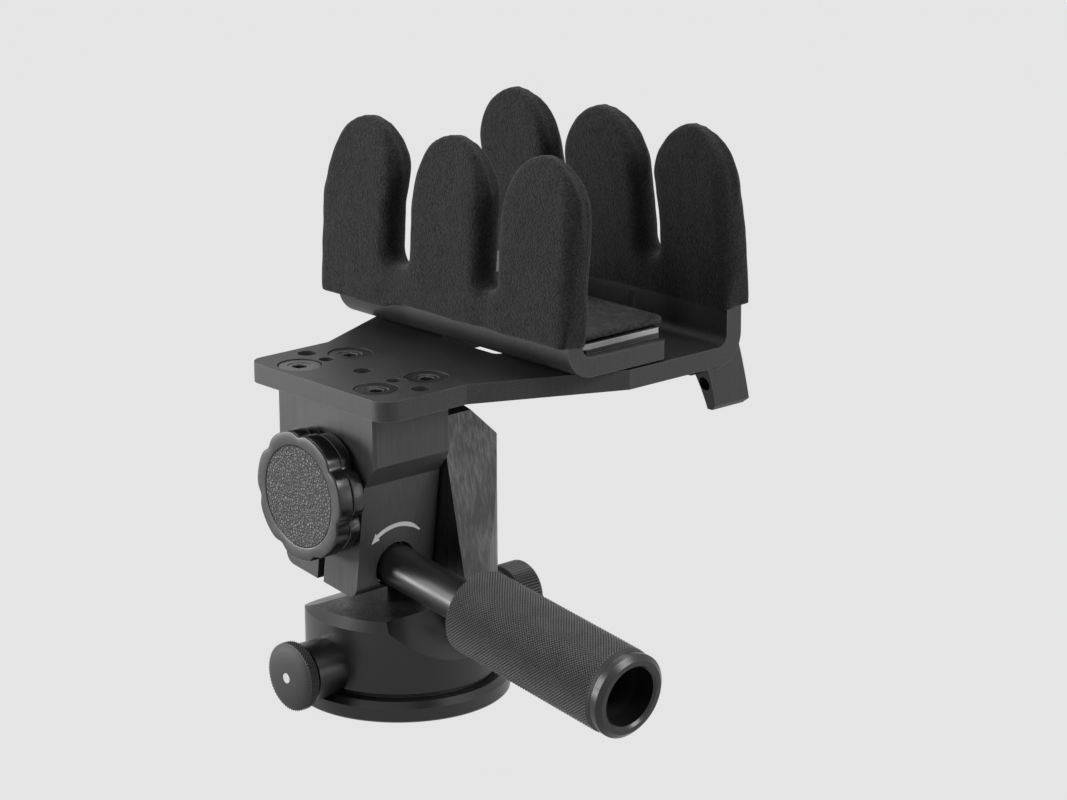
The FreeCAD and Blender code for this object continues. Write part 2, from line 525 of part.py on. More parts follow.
def foam_sleeve(jaw, hem, tip, y0, y1, pivot_z, lean):
    """Foam slipped over the jaw's fingers: rounded faces that thin towards a pinched crest."""
    sleeve = finger_comb(FOAM_SIDE, FOAM_POINT, tip, FINGER_VALLEY + FOAM_SIDE, hem, y0, y1)

    def on_face(edge):
        b = edge.BoundBox
        on_plane = b.YLength < 1e-3 and (abs(b.YMin - y0) < 1e-3 or abs(b.YMin - y1) < 1e-3)
        return on_plane and not (b.ZLength < 1e-3 and abs(b.ZMin - hem) < 1e-3)

    sleeve = rounded_edges(sleeve, FOAM_ROUND, on_face)
    middle, half = 0.5 * (y0 + y1), 0.5 * (y1 - y0)
    bulge_z = 0.5 * (FOAM_TAPER_Z + tip) + 3
    bulge = 0.5 * (half + FOAM_CREST_HALF) + 1.0
    crest_z = tip + 0.5
    far_x = -90
    low_far, low_near = V(far_x, y1 + 1, hem - 1), V(far_x, y0 - 1, hem - 1)
    taper_far, taper_near = V(far_x, y1 + 0.1, FOAM_TAPER_Z), V(far_x, y0 - 0.1, FOAM_TAPER_Z)
    crest_far, crest_near = (V(far_x, middle + k * FOAM_CREST_HALF, crest_z) for k in (1, -1))
    edges = [Part.makeLine(low_near, low_far), Part.makeLine(low_far, taper_far),
             Part.Arc(taper_far, V(far_x, middle + bulge, bulge_z), crest_far).toShape(),
             Part.makeLine(crest_far, crest_near),
             Part.Arc(crest_near, V(far_x, middle - bulge, bulge_z), taper_near).toShape(),
             Part.makeLine(taper_near, low_near)]
    sleeve = sleeve.common(Part.Face(Part.Wire(edges)).extrude(V(-2 * far_x, 0, 0)))
    reach = FINGER_PITCH + FINGER_HALF + FOAM_SIDE
    for side in (-1, 1):
        wedge = polygon([V(side * (reach + 1), y0 - 1, hem), V(side * (reach - FOAM_HEM_DRAW), y0 - 1, hem),
                         V(side * reach, y0 - 1, hem + 16), V(side * (reach + 1), y0 - 1, hem + 16)])
        sleeve = sleeve.cut(wedge.extrude(V(0, y1 - y0 + 2, 0)))
    return leaned(sleeve, middle, pivot_z, lean).cut(jaw)


# Head plate with the fixed rear jaw bent up from it

def plate_plan():
    r = PLATE_CORNER_R
    mid = r * (1 - math.sqrt(0.5))
    x, y = PLATE_HALF_X, PLATE_END_Y
    far = 200
    edges = [Part.makeLine(V(r - x, y, 0), V(x - r, y, 0)),
             Part.Arc(V(x - r, y, 0), V(x - mid, y + mid, 0), V(x, y + r, 0)).toShape()]
    run = [V(x, y + r, 0), V(x, FLARE_START_Y, 0), V(SADDLE_HALF, FLARE_END_Y, 0), V(SADDLE_HALF, far, 0),
           V(-SADDLE_HALF, far, 0), V(-SADDLE_HALF, FLARE_END_Y, 0), V(-x, FLARE_START_Y, 0), V(-x, y + r, 0)]
    edges += [Part.makeLine(a, b) for a, b in zip(run, run[1:])]
    edges.append(Part.Arc(V(-x, y + r, 0), V(mid - x, y + mid, 0), V(r - x, y, 0)).toShape())
    return Part.Face(Part.Wire(edges)).extrude(V(0, 0, 260))


def make_head_plate():
    plate = bent_section(-SADDLE_HALF, SADDLE_HALF, PLATE_BOTTOM, PLATE_T, BEND_INNER_R,
                         REAR_FACE_Y, PLATE_END_Y, REAR_HEM + 2 * CORE_ABOVE_HEM)
    plate = plate.common(plate_plan())
    plate = add_fingers(plate, REAR_HEM, REAR_FACE_Y, REAR_FACE_Y + PLATE_T, REAR_LEAN_Z, REAR_LEAN)
    for screw_x in (-SCREW_X, SCREW_X):
        for screw_y in (-SCREW_Y, SCREW_Y):
            top = V(screw_x, PLATE_CENTRE_Y + screw_y, PLATE_TOP)
            sink = [(0, 0), (SCREW_HEAD_R + 0.3, 0), (SCREW_HEAD_R + 0.3, 1.0), (4.3, 5.2), (4.3, 9), (0, 9)]
            plate = plate.cut(turned(sink, top, V(0, 0, -1)))
    for x, radius in PLAIN_HOLES:
        plate = plate.cut(cylinder(radius, V(x, PLATE_CENTRE_Y, PLATE_BOTTOM - 1), Z_AXIS, 10))
    window = box(-WINDOW_HALF, WINDOW_HALF, WINDOW_Y0, WINDOW_Y1, PLATE_BOTTOM - 1, PLATE_TOP + 1)
    window = rounded_edges(window, 3.0, lambda e: is_along(e, Z_AXIS))
    plate = plate.cut(window)
    pivot_hole = V(LEVER_PIVOT_X, LEVER_PIVOT_Y, PLATE_BOTTOM)
    plate = plate.cut(cylinder(LEVER_PIVOT_SHANK_R, pivot_hole, Z_AXIS, 5))
    for x in (-WALL_SLOT_X, WALL_SLOT_X):
        cut = box(x - WALL_SLOT_HALF, x + WALL_SLOT_HALF, REAR_FACE_Y - 3, REAR_FACE_Y + PLATE_T + 1,
                  PLATE_TOP + 1.2, WALL_SLOT_TOP - WALL_SLOT_HALF)
        cut = cut.fuse(cylinder(WALL_SLOT_HALF, V(x, REAR_FACE_Y - 3, WALL_SLOT_TOP - WALL_SLOT_HALF),
                                Y_AXIS, PLATE_T + 4))
        plate = plate.cut(cut)
    return plate


head_plate = make_head_plate()
export(head_plate, "head_plate")
rear_foam = foam_sleeve(head_plate, REAR_HEM, REAR_FOAM_TIP, REAR_FACE_Y - FOAM_FACE,
                        REAR_FACE_Y + PLATE_T + FOAM_FACE, REAR_LEAN_Z, REAR_LEAN)
export(rear_foam, "rear_foam_sleeve")

# Sliding front jaw, its carriage and keeper, and the rest stacked on its foot

jaw_inner_y = JAW_FACE_Y + JAW_T
front_jaw = bent_section(-SADDLE_HALF, SADDLE_HALF, JAW_FOOT_LOW, JAW_T, JAW_BEND_INNER,
                         jaw_inner_y, JAW_FOOT_END, FRONT_HEM + 2 * CORE_ABOVE_HEM)
front_jaw = add_fingers(front_jaw, FRONT_HEM, JAW_FACE_Y, jaw_inner_y, FRONT_LEAN_Z, FRONT_LEAN)
front_jaw = rounded_edges(front_jaw, 2.5, lambda e: is_along(e, Z_AXIS) and e.BoundBox.YMin > 70)
keeper_screw_xy = [(x, 0.5 * (CARRIAGE_Y0 + CARRIAGE_Y1)) for x in (-5.9, 5.9)]
for x, y in keeper_screw_xy:
    front_jaw = front_jaw.cut(cylinder(2.0, V(x, y, JAW_FOOT_LOW), Z_AXIS, 5.2))
export(front_jaw, "front_jaw")
front_foam = foam_sleeve(front_jaw, FRONT_HEM, FRONT_FOAM_TIP, JAW_FACE_Y - FOAM_FACE,
                         jaw_inner_y + FOAM_FACE, FRONT_LEAN_Z, FRONT_LEAN)
export(front_foam, "front_foam_sleeve")

carriage_half = WINDOW_HALF - 0.08
keeper_top = PLATE_BOTTOM - 0.3
carriage = box(-carriage_half, carriage_half, CARRIAGE_Y0, CARRIAGE_Y1, keeper_top, JAW_FOOT_LOW)
keeper = box(-KEEPER_HALF, KEEPER_HALF, CARRIAGE_Y0, CARRIAGE_Y1, KEEPER_LOW, keeper_top)
keeper = keeper.cut(cylinder(ROD_R, V(0, CARRIAGE_Y0, ROD_Z), Y_AXIS, 20))
keeper_screws = []
for x, y in keeper_screw_xy:
    head_low = V(x, y, KEEPER_LOW)
    screw = cap_screw(2.9, 3.0, 2.0, 19.6, 1.5, head_low, Z_AXIS)
    keeper_screws.append(screw)
    keeper = keeper.cut(cylinder(2.95, head_low, Z_AXIS, 3.0)).cut(cylinder(2.0, head_low, Z_AXIS, 20))
    carriage = carriage.cut(cylinder(2.0, head_low, Z_AXIS, 30))
export(carriage, "slide_carriage")
export(keeper, "slide_keeper")
export(group(keeper_screws), "keeper_screws")
rod = cylinder(ROD_R, V(0, ROD_START_Y, ROD_Z), Y_AXIS, ROD_END_Y - ROD_START_Y)
export(chamfered_edges(rod, 0.8, lambda e: e.BoundBox.YMin > ROD_END_Y - 0.01), "draw_rod")

rest_y0 = jaw_inner_y + FOAM_FACE + 1.0
lower_y0 = jaw_inner_y + JAW_BEND_INNER + 0.7
lower_z = JAW_FOOT_TOP + 0.05
upper_z = lower_z + REST_PLATE_T + 0.1
for node, y0, z in (("lower_rest_plate", lower_y0, lower_z), ("upper_rest_plate", rest_y0, upper_z)):
    plate = box(-REST_HALF_X, REST_HALF_X, y0, JAW_FOOT_END + 0.7, z, z + REST_PLATE_T)
    export(rounded_edges(plate, 1.2, lambda e: is_along(e, Z_AXIS)), node)
pad_z = upper_z + REST_PLATE_T + 0.25
pad = box(-REST_PAD_HALF_X, REST_PAD_HALF_X, rest_y0, REST_PAD_Y1, pad_z, pad_z + REST_PAD_T)
pad = rounded_edges(pad, 5.0, lambda e: is_along(e, Z_AXIS) and e.BoundBox.YMin > 60)
export(rounded_edges(pad, 0.9, lambda e: e.BoundBox.ZMin > pad_z + REST_PAD_T - 0.01), "rest_pad")


# Release lever, its pivot screw, and the guide and lock plate of the draw rod

def lever_block():
    """Finger block outside the bend: slanting near face, hollow top, curved back."""
    x = LEVER_BLOCK_X0
    centre_y, centre_z = REAR_FACE_Y - BEND_INNER_R, PLATE_TOP + BEND_INNER_R
    r = BEND_INNER_R + PLATE_T + 0.4
    points = [V(x, centre_y + r * math.cos(math.radians(a)), centre_z + r * math.sin(math.radians(a)))
              for a in (-90, -56, -22)]
    low_near, low_far = V(x, 102.2, LEVER_BLOCK_LOW), V(x, 118.6, LEVER_BLOCK_LOW)
    heel, top_near = V(x, 120.2, 105.0), V(x, 97.8, LEVER_BAR_TOP)
    edges = [Part.Arc(low_near, V(x, 100.4, 112.4), top_near).toShape(), Part.makeLine(top_near, points[0]),
             Part.Arc(*points).toShape(), Part.Arc(points[2], V(x, 117.3, 117.2), heel).toShape(),
             Part.makeLine(heel, low_far), Part.makeLine(low_far, low_near)]
    block = Part.Face(Part.Wire(edges)).extrude(V(LEVER_BLOCK_X1 - LEVER_BLOCK_X0, 0, 0))
    # The inner side leans outwards as it goes down, and the outer bottom edge is bevelled
    lean = polygon([V(x - 1, 90, 121), V(x, 90, 121), V(x + 5.2, 90, LEVER_BLOCK_LOW - 1),
                    V(x - 1, 90, LEVER_BLOCK_LOW - 1)])
    block = block.cut(lean.extrude(V(0, 40, 0)))
    x1 = LEVER_BLOCK_X1
    bevel = polygon([V(x1 - 1.9, 90, LEVER_BLOCK_LOW), V(x1, 90, LEVER_BLOCK_LOW + 1.9),
                     V(x1 + 1, 90, LEVER_BLOCK_LOW)])
    block = block.cut(bevel.extrude(V(0, 40, 0)))
    return block.cut(cylinder(LEVER_HOLE_R, V(x1 - 4.2, 90, LEVER_HOLE_Z), Y_AXIS, 18))


pivot = V(LEVER_PIVOT_X, LEVER_PIVOT_Y, LEVER_BAR_LOW)
bar_t = LEVER_BAR_TOP - LEVER_BAR_LOW
bar = box(LEVER_PIVOT_X - 9, LEVER_BLOCK_X0 + 4, LEVER_PIVOT_Y - LEVER_BAR_HALF,
          LEVER_PIVOT_Y + LEVER_BAR_HALF, LEVER_BAR_LOW, LEVER_BAR_TOP)
bar = rounded_edges(bar, 3.0, lambda e: is_along(e, Z_AXIS) and e.BoundBox.XMin < LEVER_PIVOT_X)
lever = bar.fuse(lever_block()).removeSplitter()
export(lever.cut(cylinder(LEVER_PIVOT_R + 0.05, pivot, Z_AXIS, bar_t)), "release_lever")
to_plate = PLATE_BOTTOM - LEVER_BAR_LOW
pivot_screw = cylinder(5.0, pivot - V(0, 0, 3.4), Z_AXIS, 3.2)
pivot_screw = pivot_screw.fuse(cylinder(LEVER_PIVOT_R, pivot - V(0, 0, 0.3), Z_AXIS, to_plate + 0.3))
pivot_screw = pivot_screw.fuse(cylinder(LEVER_PIVOT_SHANK_R, pivot, Z_AXIS, to_plate + 5))
export(pivot_screw.cut(cylinder(1.5, pivot - V(0, 0, 3.4), Z_AXIS, 2.2)), "lever_pivot_screw")
guide = box(-7.5, 7.5, 93.4, 98.0, 110.6, PLATE_BOTTOM)
export(guide.cut(cylinder(ROD_R + 0.05, V(0, 90, ROD_Z), Y_AXIS, 20)), "rod_guide")
lock = box(-6.5, 6.5, 98.4, 100.4, 110.8, PLATE_BOTTOM - 0.4)
export(lock.cut(cylinder(ROD_R + 0.35, V(0, 90, ROD_Z), Y_AXIS, 20)), "rod_lock_plate")
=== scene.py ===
import bmesh
import bpy
import json
import math
from mathutils import Matrix, Vector, noise


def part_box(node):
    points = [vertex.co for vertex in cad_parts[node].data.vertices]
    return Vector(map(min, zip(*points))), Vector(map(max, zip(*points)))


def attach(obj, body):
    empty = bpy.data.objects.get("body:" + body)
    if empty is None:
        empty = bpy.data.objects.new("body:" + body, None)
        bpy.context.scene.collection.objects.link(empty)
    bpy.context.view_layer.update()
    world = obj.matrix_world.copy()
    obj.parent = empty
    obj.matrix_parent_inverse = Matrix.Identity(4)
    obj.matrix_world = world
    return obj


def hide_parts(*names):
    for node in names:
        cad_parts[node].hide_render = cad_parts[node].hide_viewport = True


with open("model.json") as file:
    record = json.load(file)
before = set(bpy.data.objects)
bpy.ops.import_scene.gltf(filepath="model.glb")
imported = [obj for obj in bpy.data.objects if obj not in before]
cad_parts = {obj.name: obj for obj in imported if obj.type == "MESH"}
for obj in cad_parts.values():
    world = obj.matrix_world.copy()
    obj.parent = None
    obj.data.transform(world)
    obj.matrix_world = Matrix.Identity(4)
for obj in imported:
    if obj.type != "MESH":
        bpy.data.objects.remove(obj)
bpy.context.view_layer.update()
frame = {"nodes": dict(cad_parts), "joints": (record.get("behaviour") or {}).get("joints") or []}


# The camera stands where the photograph was taken from: a long lens, a little above
# the head, looking between the handle's end and the near end of the saddle.
azimuth, elevation, roll = math.radians(-41.77), math.radians(16.09), math.radians(-0.26)
distance_m, aside_m, raised_m = 1.3274, 0.05031, 0.10916
focal_px, image_width_px, sensor_width_mm = 3451.16, 1067, 36
toward_camera = Vector((math.cos(azimuth) * math.cos(elevation),
                        math.sin(azimuth) * math.cos(elevation), math.sin(elevation)))
level_right = Vector((-math.sin(azimuth), math.cos(azimuth), 0))
level_up = toward_camera.cross(level_right)
image_right = level_right * math.cos(roll) + level_up * math.sin(roll)
image_up = level_up * math.cos(roll) - level_right * math.sin(roll)
camera_data = bpy.data.cameras.new("photo_camera")
camera_data.sensor_width = sensor_width_mm
camera_data.lens = focal_px / image_width_px * sensor_width_mm
camera_data.clip_end = 50
camera = bpy.data.objects.new("photo_camera", camera_data)
bpy.context.collection.objects.link(camera)
place = Matrix((image_right, image_up, toward_camera)).transposed().to_4x4()
place.translation = toward_camera * distance_m + image_right * aside_m + image_up * raised_m
camera.matrix_world = place
bpy.context.scene.camera = camera


# The studio: a pale grey floor that runs out of sight, and a world of the same grey
# that the camera and polished metal see, while the lamps do the lighting.
def material_nodes(name):
    """A new material's node tree, with only its output."""
    material = bpy.data.materials.new(name)
    material.use_nodes = True
    material.node_tree.nodes.clear()
    output = material.node_tree.nodes.new("ShaderNodeOutputMaterial")
    return material, material.node_tree.nodes, material.node_tree.links, output


def sees_backdrop(nodes, links):
    """1 for the rays that see the backdrop as it is: the camera's, and those off metal or glass."""
    path = nodes.new("ShaderNodeLightPath")
    total = path.outputs["Is Camera Ray"]
    for ray in ("Is Glossy Ray", "Is Transmission Ray"):
        add = nodes.new("ShaderNodeMath")
        add.operation, add.use_clamp = "ADD", True
        links.new(total, add.inputs[0])
        links.new(path.outputs[ray], add.inputs[1])
        total = add.outputs[0]
    return total


backdrop_grey = (0.806, 0.806, 0.806, 1)
world = bpy.data.worlds.new("studio")
bpy.context.scene.world = world
world.use_nodes = True
nodes, links = world.node_tree.nodes, world.node_tree.links
nodes.clear()
seen, lit = nodes.new("ShaderNodeBackground"), nodes.new("ShaderNodeBackground")
seen.inputs["Color"].default_value = backdrop_grey
lit.inputs["Color"].default_value = (0.17, 0.17, 0.175, 1)
choose, output = nodes.new("ShaderNodeMixShader"), nodes.new("ShaderNodeOutputWorld")
links.new(sees_backdrop(nodes, links), choose.inputs["Fac"])
links.new(lit.outputs[0], choose.inputs[1])
links.new(seen.outputs[0], choose.inputs[2])
links.new(choose.outputs[0], output.inputs["Surface"])

bpy.ops.mesh.primitive_grid_add(x_subdivisions=4, y_subdivisions=4, size=30)
floor = bpy.context.active_object
floor.name = "studio_floor"
floor_material, nodes, links, output = material_nodes("studio_floor")
paper = nodes.new("ShaderNodeBsdfPrincipled")
paper.inputs["Base Color"].default_value = (0.15, 0.15, 0.15, 1)
paper.inputs["Roughness"].default_value = 0.9
paper.inputs["Specular IOR Level"].default_value = 0.1
glow, choose = nodes.new("ShaderNodeEmission"), nodes.new("ShaderNodeMixShader")
glow.inputs["Color"].default_value = backdrop_grey
shadow_kept, keep = 0.03, nodes.new("ShaderNodeMath")
keep.operation = "MULTIPLY"
keep.inputs[1].default_value = 1 - shadow_kept
links.new(sees_backdrop(nodes, links), keep.inputs[0])
links.new(keep.outputs[0], choose.inputs["Fac"])
links.new(paper.outputs[0], choose.inputs[1])
links.new(glow.outputs[0], choose.inputs[2])
links.new(choose.outputs[0], output.inputs["Surface"])
floor.data.materials.append(floor_material)


def soft_box(name, place_m, size_m, power_w):
    """A rectangular studio lamp aimed at the object's middle, and itself out of the picture."""
    data = bpy.data.lights.new(name, "AREA")
    data.shape = "RECTANGLE"
    data.size, data.size_y = size_m
    data.energy = power_w
    lamp = bpy.data.objects.new(name, data)
    bpy.context.collection.objects.link(lamp)
    lamp.location = place_m
    lamp.visible_camera = False
    lamp.rotation_euler = (object_middle - Vector(place_m)).to_track_quat("-Z", "Y").to_euler()


object_middle = Vector((0, 0.03, 0.11))
soft_box("key_left", (-0.55, -1.15, 0.75), (0.6, 0.6), 12.5)
soft_box("low_left", (-0.95, -0.85, 0.12), (0.7, 0.3), 12)
soft_box("top", (-0.3, 0.5, 1.2), (0.8, 0.8), 6)
soft_box("high_right", (1.1, 0.35, 0.85), (0.5, 0.5), 9)
soft_box("low_right", (0.85, 0.8, 0.14), (0.6, 0.3), 1.3)


# Base disc and the parts of the pan pivot: turned from aluminium bar and anodised black,
# with fine lathe lines and corners rubbed paler. Three countersunk screws hold the flange.
def group_with(name, inputs, outputs):
    """An empty shader node group: inputs are (name, type, default), outputs (name, type)."""
    tree = bpy.data.node_groups.new(name, "ShaderNodeTree")
    for socket_name, kind, value in inputs:
        socket = tree.interface.new_socket(socket_name, in_out="INPUT", socket_type=kind)
        socket.default_value = value
    for socket_name, kind in outputs:
        tree.interface.new_socket(socket_name, in_out="OUTPUT", socket_type=kind)
    return tree, tree.nodes.new("NodeGroupInput"), tree.nodes.new("NodeGroupOutput")


def feed(tree, socket, value):
    """Set a socket from a number, a colour or another socket."""
    if isinstance(value, bpy.types.NodeSocket):
        tree.links.new(value, socket)
    elif value is not None:
        socket.default_value = value


def math_node(tree, operation, a, b=None, clamp=False):
    """A Math node; a and b are sockets or numbers."""
    node = tree.nodes.new("ShaderNodeMath")
    node.operation = operation
    node.use_clamp = clamp
    feed(tree, node.inputs[0], a)
    feed(tree, node.inputs[1], b)
    return node.outputs[0]


def vector_node(tree, operation, a, b=None):
    """A Vector Math node's result: a number for a dot product or a length, else a vector."""
    node = tree.nodes.new("ShaderNodeVectorMath")
    node.operation = operation
    feed(tree, node.inputs[0], a)
    feed(tree, node.inputs[1], b)
    return node.outputs["Value" if operation in ("DOT_PRODUCT", "LENGTH") else "Vector"]


def vector_part(tree, vector, letter):
    """The X, Y or Z of a vector socket."""
    node = tree.nodes.new("ShaderNodeSeparateXYZ")
    tree.links.new(vector, node.inputs[0])
    return node.outputs[letter]


def own_coordinates(tree):
    """Places on the piece itself, in metres, so that a finish stays put as it moves."""
    return tree.nodes.new("ShaderNodeTexCoord").outputs["Object"]


def ramp(tree, value, from_low, from_high, to_low=0.0, to_high=1.0):
    """value's stretch from_low to from_high, clamped and brought to to_low to to_high."""
    node = tree.nodes.new("ShaderNodeMapRange")
    for socket_name, number in (("From Min", from_low), ("From Max", from_high),
                                ("To Min", to_low), ("To Max", to_high)):
        feed(tree, node.inputs[socket_name], number)
    feed(tree, node.inputs["Value"], value)
    return node.outputs[0]


def noise_node(tree, vector, scale, detail=2.0):
    """A Noise Texture's value, about 0.3 to 0.7."""
    node = tree.nodes.new("ShaderNodeTexNoise")
    node.inputs["Detail"].default_value = detail
    feed(tree, node.inputs["Vector"], vector)
    feed(tree, node.inputs["Scale"], scale)
    return node.outputs["Fac"]


def mix_color(tree, factor, a, b):
    """A colour mix; factor, a and b are sockets or values."""
    node = tree.nodes.new("ShaderNodeMix")
    node.data_type = "RGBA"
    feed(tree, node.inputs["Factor"], factor)
    feed(tree, node.inputs[6], a)
    feed(tree, node.inputs[7], b)
    return node.outputs[2]


def bump(tree, height, distance):
    """A normal that rises by distance, in metres, where height is 1."""
    node = tree.nodes.new("ShaderNodeBump")
    node.inputs["Distance"].default_value = distance
    node.inputs["Strength"].default_value = 1.0
    feed(tree, node.inputs["Height"], height)
    return node.outputs[0]


def make_edge_wear():
    """Mask that is 1 on worn outer edges, broken up by rubbed patches, 0 on flat faces."""
    tree, given, result = group_with(
        "edge_wear", [("Radius", "NodeSocketFloat", 0.0005), ("Amount", "NodeSocketFloat", 0.5)],
        [("Mask", "NodeSocketFloat")])
    rounded, shape = tree.nodes.new("ShaderNodeBevel"), tree.nodes.new("ShaderNodeNewGeometry")
    rounded.samples = 6
    tree.links.new(given.outputs["Radius"], rounded.inputs["Radius"])
    alike = vector_node(tree, "DOT_PRODUCT", rounded.outputs[0], shape.outputs["Normal"])
    edge = ramp(tree, alike, 0.985, 0.86)
    patches = ramp(tree, noise_node(tree, own_coordinates(tree), 90, 4), 0.3, 0.7, 0.25, 1.0)
    broken = math_node(tree, "MULTIPLY", edge, patches)
    feed(tree, result.inputs[0], math_node(tree, "MULTIPLY", broken, given.outputs["Amount"], clamp=True))
    return tree


def make_machining():
    """Fine lines left by a lathe or mill: long and thin at right angles to Along's big number."""
    tree, given, result = group_with(
        "machining_lines",
        [("Along", "NodeSocketVector", (40, 40, 6000)), ("Blotch Scale", "NodeSocketFloat", 35)],
        [("Lines", "NodeSocketFloat"), ("Blotches", "NodeSocketFloat")])
    where = own_coordinates(tree)
    stretched = vector_node(tree, "MULTIPLY", where, given.outputs["Along"])
    feed(tree, result.inputs["Lines"], noise_node(tree, stretched, 1.0))
    feed(tree, result.inputs["Blotches"], noise_node(tree, where, given.outputs["Blotch Scale"], 3.0))
    return tree


edge_wear, machining_lines = make_edge_wear(), make_machining()


def placed(tree, group, **values):
    """A node group put into a material with its own values."""
    node = tree.nodes.new("ShaderNodeGroup")
    node.node_tree = group
    for socket_name, value in values.items():
        feed(tree, node.inputs[socket_name.replace("_", " ")], value)
    return node.outputs


def surface_material(name):
    """A new material whose Principled surface is ready for its inputs."""
    material, nodes, links, output = material_nodes(name)
    surface = nodes.new("ShaderNodeBsdfPrincipled")
    links.new(surface.outputs[0], output.inputs["Surface"])
    return material, material.node_tree, surface


cut_line_depth = 0.00001


def machined_metal(name, dark, light, roughness, along, metallic=0.0, line_tone=0.0, wear=0.35,
                   worn=(0.12, 0.12, 0.125, 1)):
    """Anodised or bare machined metal: colour between dark and light, paler on worn edges."""
    material, tree, surface = surface_material(name)
    cut = placed(tree, machining_lines, Along=along)
    rubbed = placed(tree, edge_wear, Amount=wear)
    streaks = ramp(tree, cut["Lines"], 0.3, 0.7, -line_tone, line_tone)
    tone = math_node(tree, "ADD", ramp(tree, cut["Blotches"], 0.3, 0.7), streaks, clamp=True)
    feed(tree, surface.inputs["Base Color"],
         mix_color(tree, rubbed["Mask"], mix_color(tree, tone, dark, light), worn))
    low, high = roughness
    feed(tree, surface.inputs["Roughness"], ramp(tree, tone, 0, 1, low, high))
    surface.inputs["Metallic"].default_value = metallic
    feed(tree, surface.inputs["Normal"], bump(tree, cut["Lines"], cut_line_depth))
    return material


def dress(node_names, material):
    """Give CAD nodes their real material."""
    for node_name in node_names:
        mesh = frame["nodes"][node_name].data
        mesh.materials.clear()
        mesh.materials.append(material)


turned_black = machined_metal("turned_black_anodised", (0.006, 0.006, 0.0065, 1), (0.011, 0.011, 0.0115, 1),
                              (0.26, 0.38), (60, 60, 5000))
dress(["base_disc", "spindle_cap", "pan_lock_boss", "pan_drag_boss"], turned_black)
brushed_steel = machined_metal("brushed_steel", (0.30, 0.30, 0.31, 1), (0.42, 0.42, 0.43, 1), (0.28, 0.4),
                               (4000, 40, 4000), metallic=1.0, wear=0.0)
dress(["pan_spindle", "spindle_washer", "pan_lock_stud", "pan_drag_stud", "tilt_shaft", "tilt_knob_stud"],
      brushed_steel)
black_oxide = machined_metal("black_oxide_steel", (0.012, 0.012, 0.013, 1), (0.022, 0.022, 0.023, 1),
                             (0.3, 0.42), (900, 900, 900), metallic=0.5)
dress(["base_screws", "spindle_screw", "tilt_shaft_screw"], black_oxide)
bearing_bronze = machined_metal("bearing_bronze", (0.42, 0.27, 0.12, 1), (0.52, 0.34, 0.16, 1), (0.3, 0.42),
                                (60, 60, 4000), metallic=1.0, wear=0.0)
dress(["pan_bush"], bearing_bronze)
slip_polymer = machined_metal("slip_polymer", (0.42, 0.41, 0.38, 1), (0.5, 0.49, 0.46, 1), (0.4, 0.5),
                              (300, 300, 300), wear=0.0)
dress(["pan_glide_ring", "lock_brake_shoe", "drag_brake_shoe", "tilt_thrust_washer"], slip_polymer)


# Drum and upright arm, one casting machined all over: lathe lines run round the drum, and
# the milled arm above it shows upright streaks, milling marks painted strong enough to stand
# for reflection bands too. Anodised black; the drum is painted darker than the arm, as painted shade.
drum_top, arm_foot = 0.036, 0.0375


def yoke_finish():
    """Black anodising: ring-lined on the drum and painted darker there as painted shade; lighter and
    streaked on the arm, the streaks also painted reflection bands.
    """
    material, tree, surface = surface_material("machined_yoke_black")
    is_arm = ramp(tree, vector_part(tree, own_coordinates(tree), "Z"), drum_top, arm_foot)
    turned = placed(tree, machining_lines, Along=(60, 60, 5000))
    milled = placed(tree, machining_lines, Along=(1100, 1100, 9), Blotch_Scale=60)
    lines = tree.nodes.new("ShaderNodeMix")
    feed(tree, lines.inputs["Factor"], is_arm)
    feed(tree, lines.inputs[2], turned["Lines"])
    feed(tree, lines.inputs[3], milled["Lines"])
    # the arm's upright streaks: milling marks, painted strong enough to stand for reflection bands
    streaks = math_node(tree, "MULTIPLY", ramp(tree, milled["Lines"], 0.35, 0.65, -0.45, 0.45), is_arm)
    tone = math_node(tree, "ADD", ramp(tree, milled["Blotches"], 0.3, 0.7), streaks, clamp=True)
    rubbed = placed(tree, edge_wear, Amount=0.3)
    # the drum's tone is painted darker than the arm's: painted shade under the block
    drum_painted_shade_tone = mix_color(tree, tone, (0.004, 0.004, 0.0042, 1), (0.008, 0.008, 0.0083, 1))
    arm_tone = mix_color(tree, tone, (0.005, 0.005, 0.0052, 1), (0.030, 0.030, 0.0305, 1))
    colour = mix_color(tree, is_arm, drum_painted_shade_tone, arm_tone)
    feed(tree, surface.inputs["Base Color"], mix_color(tree, rubbed["Mask"], colour, (0.12, 0.12, 0.125, 1)))
    feed(tree, surface.inputs["Roughness"], ramp(tree, tone, 0, 1, 0.46, 0.27))
    feed(tree, surface.inputs["Normal"], bump(tree, lines.outputs[0], cut_line_depth))
    return material


dress(["yoke"], yoke_finish())


# Pan lock knob: a thin steel disc with a gently domed face, a cross-knurled rim and a
# white plastic pin pressed into its middle. It is screwed on its stud.
def joint_line(joint_name):
    """The point and the unit axis of a joint."""
    joint = next(j for j in frame["joints"] if j["name"] == joint_name)
    return Vector(joint["pos_m"]), Vector(joint["axis"]).normalized()


def new_piece(name, body, material, vertices, faces, sharp_deg=30):
    """A mesh piece that rides on a body, smooth except at edges sharper than sharp_deg."""
    mesh = bpy.data.meshes.new(name)
    mesh.from_pydata(vertices, [], faces)
    mesh.validate()
    shell = bmesh.new()
    shell.from_mesh(mesh)
    bmesh.ops.recalc_face_normals(shell, faces=shell.faces)
    shell.to_mesh(mesh)
    shell.free()
    mesh.shade_smooth()
    mesh.set_sharp_from_angle(angle=math.radians(sharp_deg))
    mesh.materials.append(material)
    piece = bpy.data.objects.new(name, mesh)
    bpy.context.collection.objects.link(piece)
    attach(piece, body)
    return piece


